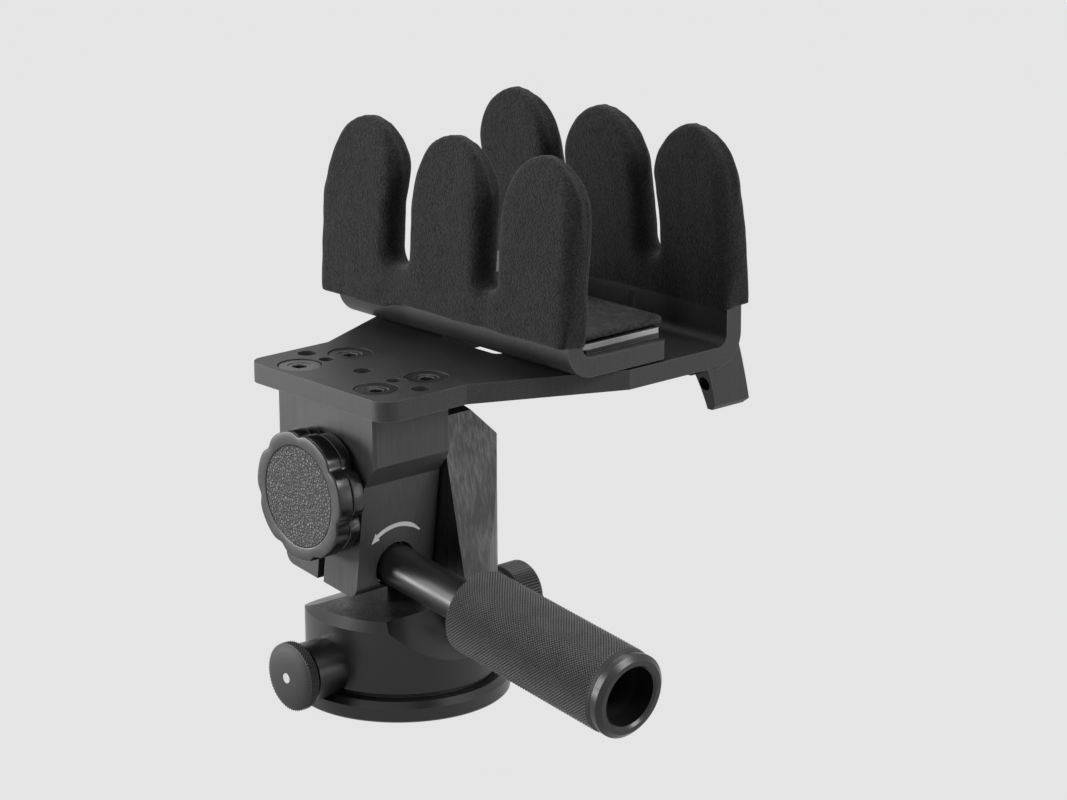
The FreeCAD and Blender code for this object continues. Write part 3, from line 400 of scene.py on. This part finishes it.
def skin(rings, start, axis, closed=False, is_pit=None):
    """Vertices and faces through rings of (radius, turn, distance along axis) points.
    Open ends are capped. Where is_pit(ring, point) says so, quads split from pit to pit."""
    side = axis.orthogonal().normalized()
    up = axis.cross(side)
    count = len(rings[0])
    vertices = [start + axis * along + (side * math.cos(turn) + up * math.sin(turn)) * radius
                for ring in rings for radius, turn, along in ring]
    faces = []
    last = len(rings) if closed else len(rings) - 1
    for i in range(last):
        low, high = i * count, (i + 1) % len(rings) * count
        for j in range(count):
            k = (j + 1) % count
            quad = (low + j, low + k, high + k, high + j)
            if is_pit is None:
                faces.append(quad)
            elif is_pit(i, j) or is_pit(i + 1, k):
                faces += [(quad[0], quad[1], quad[2]), (quad[0], quad[2], quad[3])]
            else:
                faces += [(quad[1], quad[2], quad[3]), (quad[1], quad[3], quad[0])]
    if not closed:
        faces.append(tuple(reversed(range(count))))
        faces.append(tuple(range((len(rings) - 1) * count, len(rings) * count)))
    return vertices, faces


def plain_ring(radius, along, points):
    """A circle of (radius, turn, distance) points."""
    return [(radius, 2 * math.pi * j / points, along) for j in range(points)]


def knurl_rings(radius, depth, low, high, diamonds):
    """Rings of a cross knurl: peaks and pits alternate along and around, two points a diamond."""
    points, tallness = 2 * diamonds, 1.08
    rows = 2 * round((high - low) / (2 * math.pi * radius / diamonds * tallness))
    rings = []
    for i in range(rows + 1):
        along = low + (high - low) * i / rows
        rings.append([(radius - depth * ((i + j) % 2 == 0), 2 * math.pi * j / points, along)
                      for j in range(points)])
    return rings


def gripped_metal(name, point, axis, pit_radius, crest_radius, crest_highlight_colour):
    """Black oxide metal whose knurled crests are painted paler than the pits between them: painted highlight
    on the crests and painted shade in the pits, along with rubbed wear.
    """
    material, tree, surface = surface_material(name)
    where = own_coordinates(tree)
    from_point = vector_node(tree, "SUBTRACT", where, tuple(point))
    across = vector_node(tree, "CROSS_PRODUCT", from_point, tuple(axis))
    # 1 on the knurl's crests, 0 in its pits: the crests get a painted highlight and the pits painted shade
    crest_painted_highlight = ramp(tree, vector_node(tree, "LENGTH", across), pit_radius, crest_radius)
    smear = ramp(tree, noise_node(tree, where, 160, 4), 0.3, 0.7, 0.72, 1.0)
    grain = noise_node(tree, where, 2200, 3)
    dark = mix_color(tree, ramp(tree, grain, 0.35, 0.7), (0.004, 0.004, 0.004, 1), (0.012, 0.012, 0.0125, 1))
    feed(tree, surface.inputs["Base Color"],
         mix_color(tree, math_node(tree, "MULTIPLY", crest_painted_highlight, smear), dark, crest_highlight_colour))
    feed(tree, surface.inputs["Roughness"], ramp(tree, crest_painted_highlight, 0, 1, 0.6, 0.33))
    feed(tree, surface.inputs["Normal"], bump(tree, grain, 0.00002))
    return material


far_side = Vector((0, 1, 0))
lock_low, lock_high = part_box("pan_lock_knob")
lock_radius, lock_diamonds, lock_knurl_depth = (lock_high.z - lock_low.z) / 2, 66, 0.0005
lock_points = 2 * lock_diamonds
lock_face = Vector((0, lock_low.y, (lock_low.z + lock_high.z) / 2))
lock_length = lock_high.y - lock_low.y
pin_hole, pin_depth, knurl_start, knurl_end = 0.0020, 0.0015, 0.0020, lock_length - 0.0008
dome = [(pin_hole, pin_depth), (pin_hole, 0.00005), (0.0045, 0.0001), (0.0075, 0.0003), (0.0098, 0.0007),
        (0.0113, 0.0011), (0.0122, 0.0016)]
back_bevel = [(lock_radius - 0.0006, lock_length - 0.0005), (lock_radius - 0.0011, lock_length)]
rings = [plain_ring(radius, along, lock_points) for radius, along in dome]
rings += knurl_rings(lock_radius, lock_knurl_depth, knurl_start, knurl_end, lock_diamonds)
rings += [plain_ring(radius, along, lock_points) for radius, along in back_bevel]
vertices, faces = skin(rings, lock_face, far_side, is_pit=lambda i, j: (i + j + len(dome)) % 2 == 0)
# the lock knob's crest colour is a painted highlight on its knurl
lock_finish = gripped_metal("lock_knob_black", lock_face, far_side, lock_radius - lock_knurl_depth,
                            lock_radius, (0.045, 0.045, 0.046, 1))
lock_knob = new_piece("lock_knob_disc", "pan_lock", lock_finish, vertices, faces)
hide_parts("pan_lock_knob")
white_pin = machined_metal("white_pin", (0.60, 0.60, 0.58, 1), (0.68, 0.68, 0.66, 1), (0.3, 0.4),
                           (400, 400, 400), wear=0.0)
dress(["pan_lock_centre"], white_pin)


# Pan drag knob on the far side: a longer turned knob with straight ridges, bevelled ends
# and a shallow dish in its end face.
drag_low, drag_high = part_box("pan_drag_knob")
drag_radius, drag_ridges, ridge_depth = (drag_high.z - drag_low.z) / 2, 64, 0.0004
drag_points = 3 * drag_ridges
drag_start = Vector((0, drag_low.y, (drag_low.z + drag_high.z) / 2))
drag_length = drag_high.y - drag_low.y


def ridged_ring(radius, along):
    """Three points a ridge: one in the groove and two on the crest."""
    return [(radius - ridge_depth * (j % 3 == 0), 2 * math.pi * j / drag_points, along)
            for j in range(drag_points)]


root_end = [(drag_radius - 0.0035, 0.0), (drag_radius - 0.0014, 0.0)]
ridged_part = [(drag_radius - 0.0006, 0.0005), (drag_radius, 0.0012), (drag_radius, drag_length - 0.0014),
               (drag_radius - 0.0007, drag_length - 0.0006)]
dished_end = [(drag_radius - 0.0017, drag_length), (drag_radius - 0.0036, drag_length),
              (drag_radius - 0.0042, drag_length - 0.0005), (0.0015, drag_length - 0.0005)]
rings = [plain_ring(radius, along, drag_points) for radius, along in root_end]
rings += [ridged_ring(radius, along) for radius, along in ridged_part]
rings += [plain_ring(radius, along, drag_points) for radius, along in dished_end]
vertices, faces = skin(rings, drag_start, far_side)
# the drag knob's crest colour is a painted highlight on its ridges
drag_finish = gripped_metal("drag_knob_black", drag_start, far_side, drag_radius - ridge_depth,
                            drag_radius, (0.040, 0.040, 0.041, 1))
drag_knob = new_piece("drag_knob_ridged", "pan_drag", drag_finish, vertices, faces, 25)
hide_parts("pan_drag_knob")


# Tilting block: milled from bar, split below by a slit. A plain white arc arrow is printed
# on the leaning face round the handle's root.
milled_black = machined_metal("milled_black_anodised", (0.026, 0.026, 0.0265, 1), (0.044, 0.044, 0.0445, 1),
                              (0.36, 0.46), (1700, 1700, 30), line_tone=0.45)
dress(["tilt_block"], milled_black)
dress(["clamp_nut"], brushed_steel)
tilt_point = joint_line("tilt")[0]
handle_point, handle_axis = joint_line("handle_turn")
lean_down = Vector((handle_axis.z, 0, -handle_axis.x))
face_out, arrow_aside, arrow_down = 0.0212, 0.0176, 0.0267
arrow_centre = tilt_point + handle_axis * face_out - far_side * arrow_aside + lean_down * arrow_down
arrow_radius, stroke, ink, arc_steps = 0.0164, 0.0017, 0.00006, 24
arc_start, arc_end, tip_turn = math.radians(47), math.radians(124), math.radians(137)
tail_width, head_half = 0.35, 0.0019


def on_lug(radius, turn, lift):
    """A point of the leaning face: turn 0 points along +Y, 90 degrees up the face."""
    return (arrow_centre + far_side * radius * math.cos(turn)
            - lean_down * radius * math.sin(turn) + handle_axis * lift)


vertices, faces = [], []
for i in range(arc_steps + 1):
    turn = arc_start + (arc_end - arc_start) * i / arc_steps
    half = stroke / 2 * (tail_width + (1 - tail_width) * min(1.0, 4 * i / arc_steps))
    corners = ((-half, 0), (half, 0), (half, ink), (-half, ink))
    vertices += [on_lug(arrow_radius + aside, turn, lift) for aside, lift in corners]
for i in range(arc_steps):
    for j in range(4):
        k = (j + 1) % 4
        faces.append((4 * i + j, 4 * i + k, 4 * i + 4 + k, 4 * i + 4 + j))
faces += [(3, 2, 1, 0), tuple(4 * arc_steps + j for j in range(4))]
head = [(arrow_radius - head_half, arc_end), (arrow_radius + head_half, arc_end),
        (arrow_radius - 0.0002, tip_turn)]
first = len(vertices)
vertices += [on_lug(radius, turn, lift) for lift in (0, ink) for radius, turn in head]
faces += [(first + 2, first + 1, first), (first + 3, first + 4, first + 5)]
faces += [(first + j, first + (j + 1) % 3, first + 3 + (j + 1) % 3, first + 3 + j) for j in range(3)]
printed_white = machined_metal("printed_white", (0.60, 0.60, 0.60, 1), (0.72, 0.72, 0.72, 1), (0.5, 0.6),
                               (900, 900, 900), wear=0.0)
arrow = new_piece("arc_arrow", "tilt_head", printed_white, vertices, faces)


# Tilt knob: moulded plastic with seven broad lobes, two tiers of rim parted by a ledge,
# and a leather-grained inset glued into its face.
knob_low, knob_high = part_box("tilt_knob")
knob_depth = knob_high.y - knob_low.y
knob_radius, knob_notch, knob_lobes, knob_points = 0.0248, 0.0017, 7, 224
first_notch, notch_width = math.radians(88), 0.42
inset_radius = 0.0193


def lobed_ring(inset, depth, notch):
    """The rim at a depth, drawn in by inset and, at each of the seven notches, by notch more."""
    ring = []
    for j in range(knob_points):
        turn = 2 * math.pi * j / knob_points
        phase = knob_lobes * (turn - first_notch) / 2
        drawn_in = notch * math.exp(-(math.sin(phase) / notch_width) ** 2)
        ring.append((knob_radius - inset - drawn_in, turn, depth))
    return ring


def stacked_faces(ring_count, points):
    """Quads between rings that follow each other in a list of vertices, and a cap at each end."""
    faces = [(i * points + j, i * points + (j + 1) % points,
              (i + 1) * points + (j + 1) % points, (i + 1) * points + j)
             for i in range(ring_count - 1) for j in range(points)]
    last = (ring_count - 1) * points
    return faces + [tuple(range(points)), tuple(reversed(range(last, last + points)))]


# The inset's seat, then the rim from face to back as (drawn in, depth, share of the notch).
inset_seat = [(inset_radius, 0.0010), (inset_radius, 0.0003), (inset_radius + 0.0002, 0.0001),
              (inset_radius + 0.0006, 0)]
knob_section = [(0.0024, 0.0, 0.8), (0.0009, 0.0, 0.9), (0.0004, 0.00012, 0.9), (0.0001, 0.00045, 0.9),
                (0.0, 0.0010, 0.9), (0.0, 0.0060, 0.9), (0.0002, 0.0062, 0.9), (0.0016, 0.0063, 1.1),
                (0.0016, 0.0069, 1.2), (0.0006, 0.0071, 1.5), (0.0003, 0.0074, 1.6), (0.0003, 0.0112, 1.6),
                (0.0007, 0.0120, 1.6), (0.0022, knob_depth, 1.3)]
rings = [plain_ring(radius, along, knob_points) for radius, along in inset_seat]
rings += [lobed_ring(inset, depth, share * knob_notch) for inset, depth, share in knob_section]
knob_start = Vector((0, knob_low.y, tilt_point.z))
vertices = [knob_start + Vector((radius * math.cos(turn), along, radius * math.sin(turn)))
            for ring in rings for radius, turn, along in ring]
faces = stacked_faces(len(rings), knob_points)


def moulded_plastic():
    """Moulded black plastic: glossy sides, and a duller, finely scuffed face painted paler than the sides as
    a painted reflection.
    """
    material, tree, surface = surface_material("knob_plastic")
    where = own_coordinates(tree)
    shape = tree.nodes.new("ShaderNodeNewGeometry")
    toward_front = math_node(tree, "ABSOLUTE", vector_part(tree, shape.outputs["Normal"], "Y"))
    is_face = ramp(tree, toward_front, 0.86, 0.99)
    scuffs = noise_node(tree, where, 140, 5)
    # the face is painted paler than the sides by the way it faces: a painted reflection of the bright floor
    face_painted_reflection_tone = mix_color(tree, ramp(tree, scuffs, 0.35, 0.7), (0.022, 0.022, 0.0225, 1),
                          (0.0352, 0.0352, 0.036, 1))
    feed(tree, surface.inputs["Base Color"], mix_color(tree, is_face, (0.005, 0.005, 0.005, 1), face_painted_reflection_tone))
    dull, uneven = ramp(tree, is_face, 0, 1, 0.24, 0.42), ramp(tree, scuffs, 0.3, 0.7, -0.03, 0.05)
    feed(tree, surface.inputs["Roughness"], math_node(tree, "ADD", dull, uneven))
    feed(tree, surface.inputs["Normal"], bump(tree, noise_node(tree, where, 2600, 3), 0.00002))
    return material


tilt_knob = new_piece("tilt_knob_lobed", "tilt_knob", moulded_plastic(), vertices, faces, 32)
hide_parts("tilt_knob")


def leather_grain():
    """The inset's raised grain: small irregular pebbles parted by fine creases, the pebble tops painted pale
    as painted reflection and the creases dark as painted shade.
    """
    material, tree, surface = surface_material("knob_inset_grain")
    where = own_coordinates(tree)
    sway = tree.nodes.new("ShaderNodeTexNoise")
    sway.inputs["Scale"].default_value = 420
    tree.links.new(where, sway.inputs["Vector"])
    shift = vector_node(tree, "MULTIPLY", sway.outputs["Color"], (0.0011, 0.0011, 0.0011))
    pebbles = tree.nodes.new("ShaderNodeTexVoronoi")
    pebbles.feature = "DISTANCE_TO_EDGE"
    pebbles.inputs["Scale"].default_value = 880
    tree.links.new(vector_node(tree, "ADD", where, shift), pebbles.inputs["Vector"])
    pebble = ramp(tree, pebbles.outputs["Distance"], 0.0, 0.32)
    fine = math_node(tree, "MULTIPLY", noise_node(tree, where, 3200, 3), 0.35)
    height = math_node(tree, "ADD", pebble, fine)
    # colour follows the grain's height: painted shade in the creases, painted reflection on the pebble tops
    feed(tree, surface.inputs["Base Color"],
         mix_color(tree, ramp(tree, height, 0.3, 1.0), (0.006, 0.006, 0.006, 1), (0.14, 0.14, 0.142, 1)))
    feed(tree, surface.inputs["Roughness"], ramp(tree, height, 0.2, 1.1, 0.7, 0.45))
    feed(tree, surface.inputs["Normal"], bump(tree, height, 0.0003))
    return material


dress(["tilt_knob_inset"], leather_grain())
dress(["tilt_knob_washer"], slip_polymer)


# Handle: a turned stem drawn into the block by its bolt, and a tube grip with a crisp
# cross knurl. A plain bevelled ring is pressed into the grip's open end.
satin_stem = machined_metal("turned_stem_black", (0.010, 0.010, 0.0105, 1), (0.017, 0.017, 0.0175, 1),
                            (0.30, 0.38), (5000, 40, 700))
dress(["handle_stem"], satin_stem)
dress(["handle_thrust_washer"], brushed_steel)
ring_black = machined_metal("grip_ring_black", (0.010, 0.010, 0.0105, 1), (0.018, 0.018, 0.0185, 1),
                            (0.28, 0.38), (3000, 40, 400))
dress(["grip_end_ring"], ring_black)
grip_start, grip_length, grip_radius = 0.0675, 0.0781, 0.0163
stem_hole, tube_hole, ring_seat, seat_depth, socket_depth = 0.0080, 0.0112, 0.0118, 0.0040, 0.0140
grip_diamonds, grip_depth, knurl_start, knurl_end = 80, 0.00052, 0.0018, grip_length - 0.0020
grip_points = 2 * grip_diamonds
start_point = handle_point + handle_axis * grip_start
stem_end = [(stem_hole, socket_depth), (stem_hole, 0.0), (grip_radius - 0.0026, 0.0),
            (grip_radius - 0.0016, 0.0003), (grip_radius - 0.0008, 0.0011)]
open_end = [(grip_radius - 0.0006, grip_length - 0.0009), (grip_radius - 0.0008, grip_length),
            (ring_seat, grip_length), (ring_seat, grip_length - seat_depth),
            (tube_hole, grip_length - seat_depth), (tube_hole, socket_depth)]
rings = [plain_ring(radius, along, grip_points) for radius, along in stem_end]
rings += knurl_rings(grip_radius, grip_depth, knurl_start, knurl_end, grip_diamonds)
rings += [plain_ring(radius, along, grip_points) for radius, along in open_end]
vertices, faces = skin(rings, start_point, handle_axis, closed=True,
                       is_pit=lambda i, j: (i + j + len(stem_end)) % 2 == 0)
# the grip's pale crest colour is a painted highlight on the knurl, over some rubbed wear
knurled_black = gripped_metal("knurled_black_anodised", handle_point, handle_axis, grip_radius - grip_depth,
                              grip_radius, (0.20, 0.20, 0.202, 1))
grip = new_piece("knurled_grip", "handle", knurled_black, vertices, faces, 20)
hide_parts("handle_grip")


# Head plate with its fixed jaw, sliding jaw and release lever: aluminium plate cut by saw
# and bead-blasted, then anodised. Cut edges keep fine upright saw marks, and upright faces
# are painted paler as painted light.
def blasted_finish():
    """Bead-blasted black anodising, speckled and blotched, with saw marks on upright faces, which are also
    painted paler as painted light.
    """
    material, tree, surface = surface_material("blasted_black_anodised")
    shape = tree.nodes.new("ShaderNodeNewGeometry")
    upward = math_node(tree, "ABSOLUTE", vector_part(tree, shape.outputs["True Normal"], "Z"))
    is_upright_face = ramp(tree, upward, 0.5, 0.2)
    saw = placed(tree, machining_lines, Along=(1500, 1500, 16), Blotch_Scale=50)
    blast = placed(tree, machining_lines, Along=(1300, 1300, 1300), Blotch_Scale=28)
    rubbed = placed(tree, edge_wear, Amount=0.8)
    marks = math_node(tree, "MULTIPLY", ramp(tree, saw["Lines"], 0.35, 0.65, -0.6, 0.6), is_upright_face)
    tone = math_node(tree, "ADD", ramp(tree, blast["Blotches"], 0.3, 0.7), marks, clamp=True)
    specks = ramp(tree, blast["Lines"], 0.56, 0.72, 0, 0.35)
    anodised = mix_color(tree, tone, (0.011, 0.011, 0.0115, 1), (0.020, 0.020, 0.0205, 1))
    # painted light: upright faces are painted paler than the flat ones
    upright_painted_light = mix_color(tree, math_node(tree, "MULTIPLY", is_upright_face, 0.35), anodised, (0.06, 0.06, 0.06, 1))
    finish = mix_color(tree, specks, upright_painted_light, (0.09, 0.09, 0.09, 1))
    feed(tree, surface.inputs["Base Color"], mix_color(tree, rubbed["Mask"], finish, (0.16, 0.16, 0.165, 1)))
    surface.inputs["Specular IOR Level"].default_value = 0.4
    feed(tree, surface.inputs["Roughness"], ramp(tree, blast["Blotches"], 0.3, 0.7, 0.42, 0.54))
    height = math_node(tree, "ADD", blast["Lines"], math_node(tree, "MULTIPLY", marks, 0.8))
    feed(tree, surface.inputs["Normal"], bump(tree, height, 0.00002))
    return material


dress(["head_plate", "front_jaw", "release_lever"], blasted_finish())
dress(["draw_rod", "slide_keeper", "rod_lock_plate"], brushed_steel)
dress(["rod_guide"], bearing_bronze)
dress(["slide_carriage"], slip_polymer)
dress(["keeper_screws", "lever_pivot_screw"], black_oxide)


# Four countersunk screws hold the plate on the block: black steel, flush, each with a
# hexagonal socket and a fine turned rim.
screw_points, screw_head, screw_shank, screw_length = 48, 0.0082, 0.0040, 0.0205
hex_across, hex_depth, cone_foot = 0.0050, 0.0030, 0.0046
screw_low, screw_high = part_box("plate_screws")


def hex_ring(across, along):
    """Points of a hexagon, eight to a side, as (radius, turn, distance) from its middle."""
    ring = []
    for j in range(screw_points):
        turn = 2 * math.pi * j / screw_points
        in_side = (turn + math.pi / 6) % (math.pi / 3) - math.pi / 6
        ring.append((across / 2 / math.cos(in_side), turn, along))
    return ring


turned_part = [(screw_shank, screw_length), (screw_shank, cone_foot), (screw_head - 0.0002, 0.0007),
               (screw_head, 0.0005), (screw_head, 0.0003), (screw_head - 0.0004, 0.0), (0.0048, 0.0),
               (0.0045, 0.00025)]
hex_socket = [(hex_across + 0.0006, 0.00025), (hex_across, 0.0006), (hex_across, hex_depth)]
drill_point = plain_ring(0.0008, 0.0042, screw_points)
rings = [plain_ring(radius, down, screw_points) for radius, down in turned_part]
rings += [hex_ring(across, down) for across, down in hex_socket]
rings.append(drill_point)
vertices, faces = [], []
for screw_x in (screw_low.x + screw_head, screw_high.x - screw_head):
    for screw_y in (screw_low.y + screw_head, screw_high.y - screw_head):
        some_vertices, some_faces = skin(rings, Vector((screw_x, screw_y, screw_high.z)), Vector((0, 0, -1)))
        faces += [tuple(len(vertices) + v for v in face) for face in some_faces]
        vertices += some_vertices
screw_black = machined_metal("screw_black", (0.010, 0.010, 0.011, 1), (0.030, 0.030, 0.031, 1), (0.26, 0.4),
                             (700, 700, 700), metallic=0.3, wear=1.0, worn=(0.36, 0.36, 0.37, 1))
screws = new_piece("plate_socket_screws", "tilt_head", screw_black, vertices, faces)
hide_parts("plate_screws")


# Foam sleeves: thick black foam drawn over the three fingers of each jaw. They swell round
# the fingers, thin out to a pinched seam along each tip, and draw in at the hem.
finger_pitch, crotch_z, dent_reach, dent_depth = 0.0506, 0.1485, 0.0065, 0.0006
seam_from_z, seam_rise, seam_height, seam_width = 0.1780, 0.014, 0.00055, 0.0012
groove_off_seam, groove_depth, groove_width = 0.0031, 0.00030, 0.0014
broad_lumps, broad_lump, fine_lumps, fine_lump = 55, 0.00045, 160, 0.00022
foam_voxel, foam_smooth_rounds = 0.0011, 5


def foam_finish():
    """Matt black foam: a felted surface of fine cells, a little paler where the pile stands up."""
    material, tree, surface = surface_material("black_foam")
    where = own_coordinates(tree)
    cells = ramp(tree, noise_node(tree, where, 1250, 3), 0.38, 0.64, 0, 0.7)
    tufts = ramp(tree, noise_node(tree, where, 480, 2), 0.35, 0.65, 0, 0.3)
    broad = noise_node(tree, where, 45, 3)
    fleck = math_node(tree, "ADD", cells, tufts)
    colour = mix_color(tree, fleck, (0.004, 0.004, 0.0042, 1), (0.029, 0.029, 0.030, 1))
    shade = mix_color(tree, ramp(tree, broad, 0.3, 0.7), colour, (0.012, 0.012, 0.0125, 1))
    feed(tree, surface.inputs["Base Color"], mix_color(tree, 0.8, shade, colour))
    surface.inputs["Roughness"].default_value = 0.95
    surface.inputs["Specular IOR Level"].default_value = 0.25
    surface.inputs["Sheen Weight"].default_value = 0.12
    surface.inputs["Sheen Roughness"].default_value = 0.5
    feed(tree, surface.inputs["Normal"], bump(tree, fleck, 0.0003))
    return material


foam_black = foam_finish()


def falloff(distance, reach):
    """1 at no distance, fading to nothing past its reach."""
    return math.exp(-(distance / reach) ** 2)


def blend(value, start, end):
    """0 at start and 1 at end, eased."""
    part = min(1.0, max(0.0, (value - start) / (end - start)))
    return part * part * (3 - 2 * part)


front_low, front_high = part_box("front_foam_sleeve")
front_middle_y = (front_low.y + front_high.y) / 2


def front_sag(spot):
    """The front sleeve has slid outwards at its -X finger, and its hem hangs lower there."""
    slid_out, off_jaw, hem_drop = 0.0028, 0.0008, 0.0030
    low_part = blend(spot.z, 0.197, 0.176)
    first_finger = blend(spot.x, -0.0215, -0.0290)
    outer_hem = blend(spot.z, 0.160, 0.143) * blend(spot.y, front_middle_y, front_middle_y - 0.004)
    hem_end = outer_hem * blend(spot.x, -0.022, -0.032)
    return Vector((-slid_out * first_finger * low_part, -off_jaw * low_part, -hem_drop * hem_end))


def rear_sag(spot):
    """The rear sleeve sits back on its jaw low down, and is drawn in at its +X end."""
    drawn_in, sat_back = 0.0017, 0.0013
    return Vector((-drawn_in * blend(spot.x, 0.040, 0.070), sat_back * blend(spot.z, 0.192, 0.168), 0))


def foam_sleeve(name, node_name, body, seed, sag):
    """The CAD sleeve remeshed fine, softened, and given its sag, seam, dents and slight lumps."""
    piece = bpy.data.objects.new(name, frame["nodes"][node_name].data.copy())
    bpy.context.collection.objects.link(piece)
    remesh = piece.modifiers.new("cells", "REMESH")
    remesh.mode = "VOXEL"
    remesh.voxel_size = foam_voxel
    soften = piece.modifiers.new("soften", "SMOOTH")
    soften.factor, soften.iterations = 0.5, foam_smooth_rounds
    seen = piece.evaluated_get(bpy.context.evaluated_depsgraph_get())
    mesh = bpy.data.meshes.new_from_object(seen)
    piece.modifiers.clear()
    piece.data = mesh
    low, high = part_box(node_name)
    middle_y = (low.y + high.y) / 2
    shift = Vector((seed * 3.7, seed * 1.3, 0))
    moves = []
    for vertex in mesh.vertices:
        spot, normal = vertex.co, vertex.normal
        rise = min(1.0, max(0.0, (spot.z - seam_from_z) / seam_rise))
        off_seam = abs(spot.y - middle_y)
        pinch = seam_height * falloff(off_seam, seam_width)
        groove = groove_depth * falloff(off_seam - groove_off_seam, groove_width)
        outward = Vector((normal.x, 0, normal.z))
        lump = (broad_lump * noise.noise(spot * broad_lumps + shift)
                + fine_lump * noise.noise(spot * fine_lumps + shift))
        dent = sum(falloff(math.hypot(spot.x - crotch_x, spot.z - crotch_z), dent_reach)
                   for crotch_x in (-finger_pitch / 2, finger_pitch / 2))
        moves.append(outward * rise * (pinch - groove) + normal * (lump - dent_depth * dent) + sag(spot))
    for vertex, move in zip(mesh.vertices, moves):
        vertex.co += move
    mesh.shade_smooth()
    mesh.materials.clear()
    mesh.materials.append(foam_black)
    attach(piece, body)
    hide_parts(node_name)


foam_sleeve("front_sleeve_foam", "front_foam_sleeve", "front_jaw", 1, front_sag)
foam_sleeve("rear_sleeve_foam", "rear_foam_sleeve", "tilt_head", 2, rear_sag)


# Rest for the underside of what is clamped: a blackened and a polished steel plate stacked
# on the sliding jaw's foot, with a grained rubber pad glued on top.
polished_steel = machined_metal("rest_plate_steel", (0.16, 0.16, 0.165, 1), (0.34, 0.34, 0.345, 1),
                                (0.16, 0.28), (30, 3000, 3000), metallic=1.0, wear=0.6,
                                worn=(0.65, 0.65, 0.66, 1))
dress(["upper_rest_plate"], polished_steel)
blackened_steel = machined_metal("rest_plate_blackened", (0.012, 0.012, 0.0125, 1), (0.045, 0.045, 0.046, 1),
                                 (0.3, 0.42), (700, 700, 700), metallic=0.5, wear=0.9,
                                 worn=(0.50, 0.50, 0.51, 1))
dress(["lower_rest_plate"], blackened_steel)
pad_low, pad_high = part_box("rest_pad")
pad_corner, pad_back_corner, smallest_round, corner_steps = 0.0050, 0.0008, 0.0002, 8


def pad_outline(inset, height):
    """Rounded outline of the pad at a height, drawn in by inset."""
    points = []
    corners = [(pad_high.x, pad_high.y, 0, pad_corner), (pad_low.x, pad_high.y, 90, pad_corner),
               (pad_low.x, pad_low.y, 180, pad_back_corner), (pad_high.x, pad_low.y, 270, pad_back_corner)]
    for x, y, begin, radius in corners:
        reach = max(radius, inset + smallest_round)
        middle_x, middle_y = x - math.copysign(reach, x), y - reach if begin < 180 else y + reach
        for step in range(corner_steps + 1):
            turn = math.radians(begin + 90 * step / corner_steps)
            points.append(Vector((middle_x + (reach - inset) * math.cos(turn),
                                  middle_y + (reach - inset) * math.sin(turn), height)))
    return points


pad_thickness = pad_high.z - pad_low.z
pad_section = [(0.0006, 0.0), (0.0001, 0.0003), (0.0, 0.0008), (0.0, 0.0016), (0.0002, 0.0020),
               (0.0006, 0.0023), (0.0012, 0.00248), (0.0022, 0.00256), (0.0060, pad_thickness)]
outlines = [pad_outline(inset, pad_low.z + height) for inset, height in pad_section]
vertices = [point for outline in outlines for point in outline]
faces = stacked_faces(len(outlines), len(outlines[0]))


def rubber_finish():
    """Black rubber with a fine pebbled grain and a few dusty rubs."""
    material, tree, surface = surface_material("pad_rubber")
    where = own_coordinates(tree)
    grain, rubs = noise_node(tree, where, 800, 3), noise_node(tree, where, 120, 5)
    rubbed = placed(tree, edge_wear, Amount=0.7)
    tone = mix_color(tree, ramp(tree, grain, 0.4, 0.62), (0.004, 0.004, 0.004, 1), (0.034, 0.034, 0.034, 1))
    tone = mix_color(tree, ramp(tree, rubs, 0.52, 0.7, 0, 0.45), tone, (0.055, 0.055, 0.055, 1))
    feed(tree, surface.inputs["Base Color"], mix_color(tree, rubbed["Mask"], tone, (0.05, 0.05, 0.05, 1)))
    feed(tree, surface.inputs["Roughness"], ramp(tree, grain, 0.3, 0.7, 0.6, 0.8))
    surface.inputs["Specular IOR Level"].default_value = 0.25
    feed(tree, surface.inputs["Normal"], bump(tree, grain, 0.00025))
    return material


rest_pad = new_piece("rest_pad_rubber", "front_jaw", rubber_finish(), vertices, faces, 40)
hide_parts("rest_pad")

bpy.context.scene.view_settings.view_transform = "Standard"
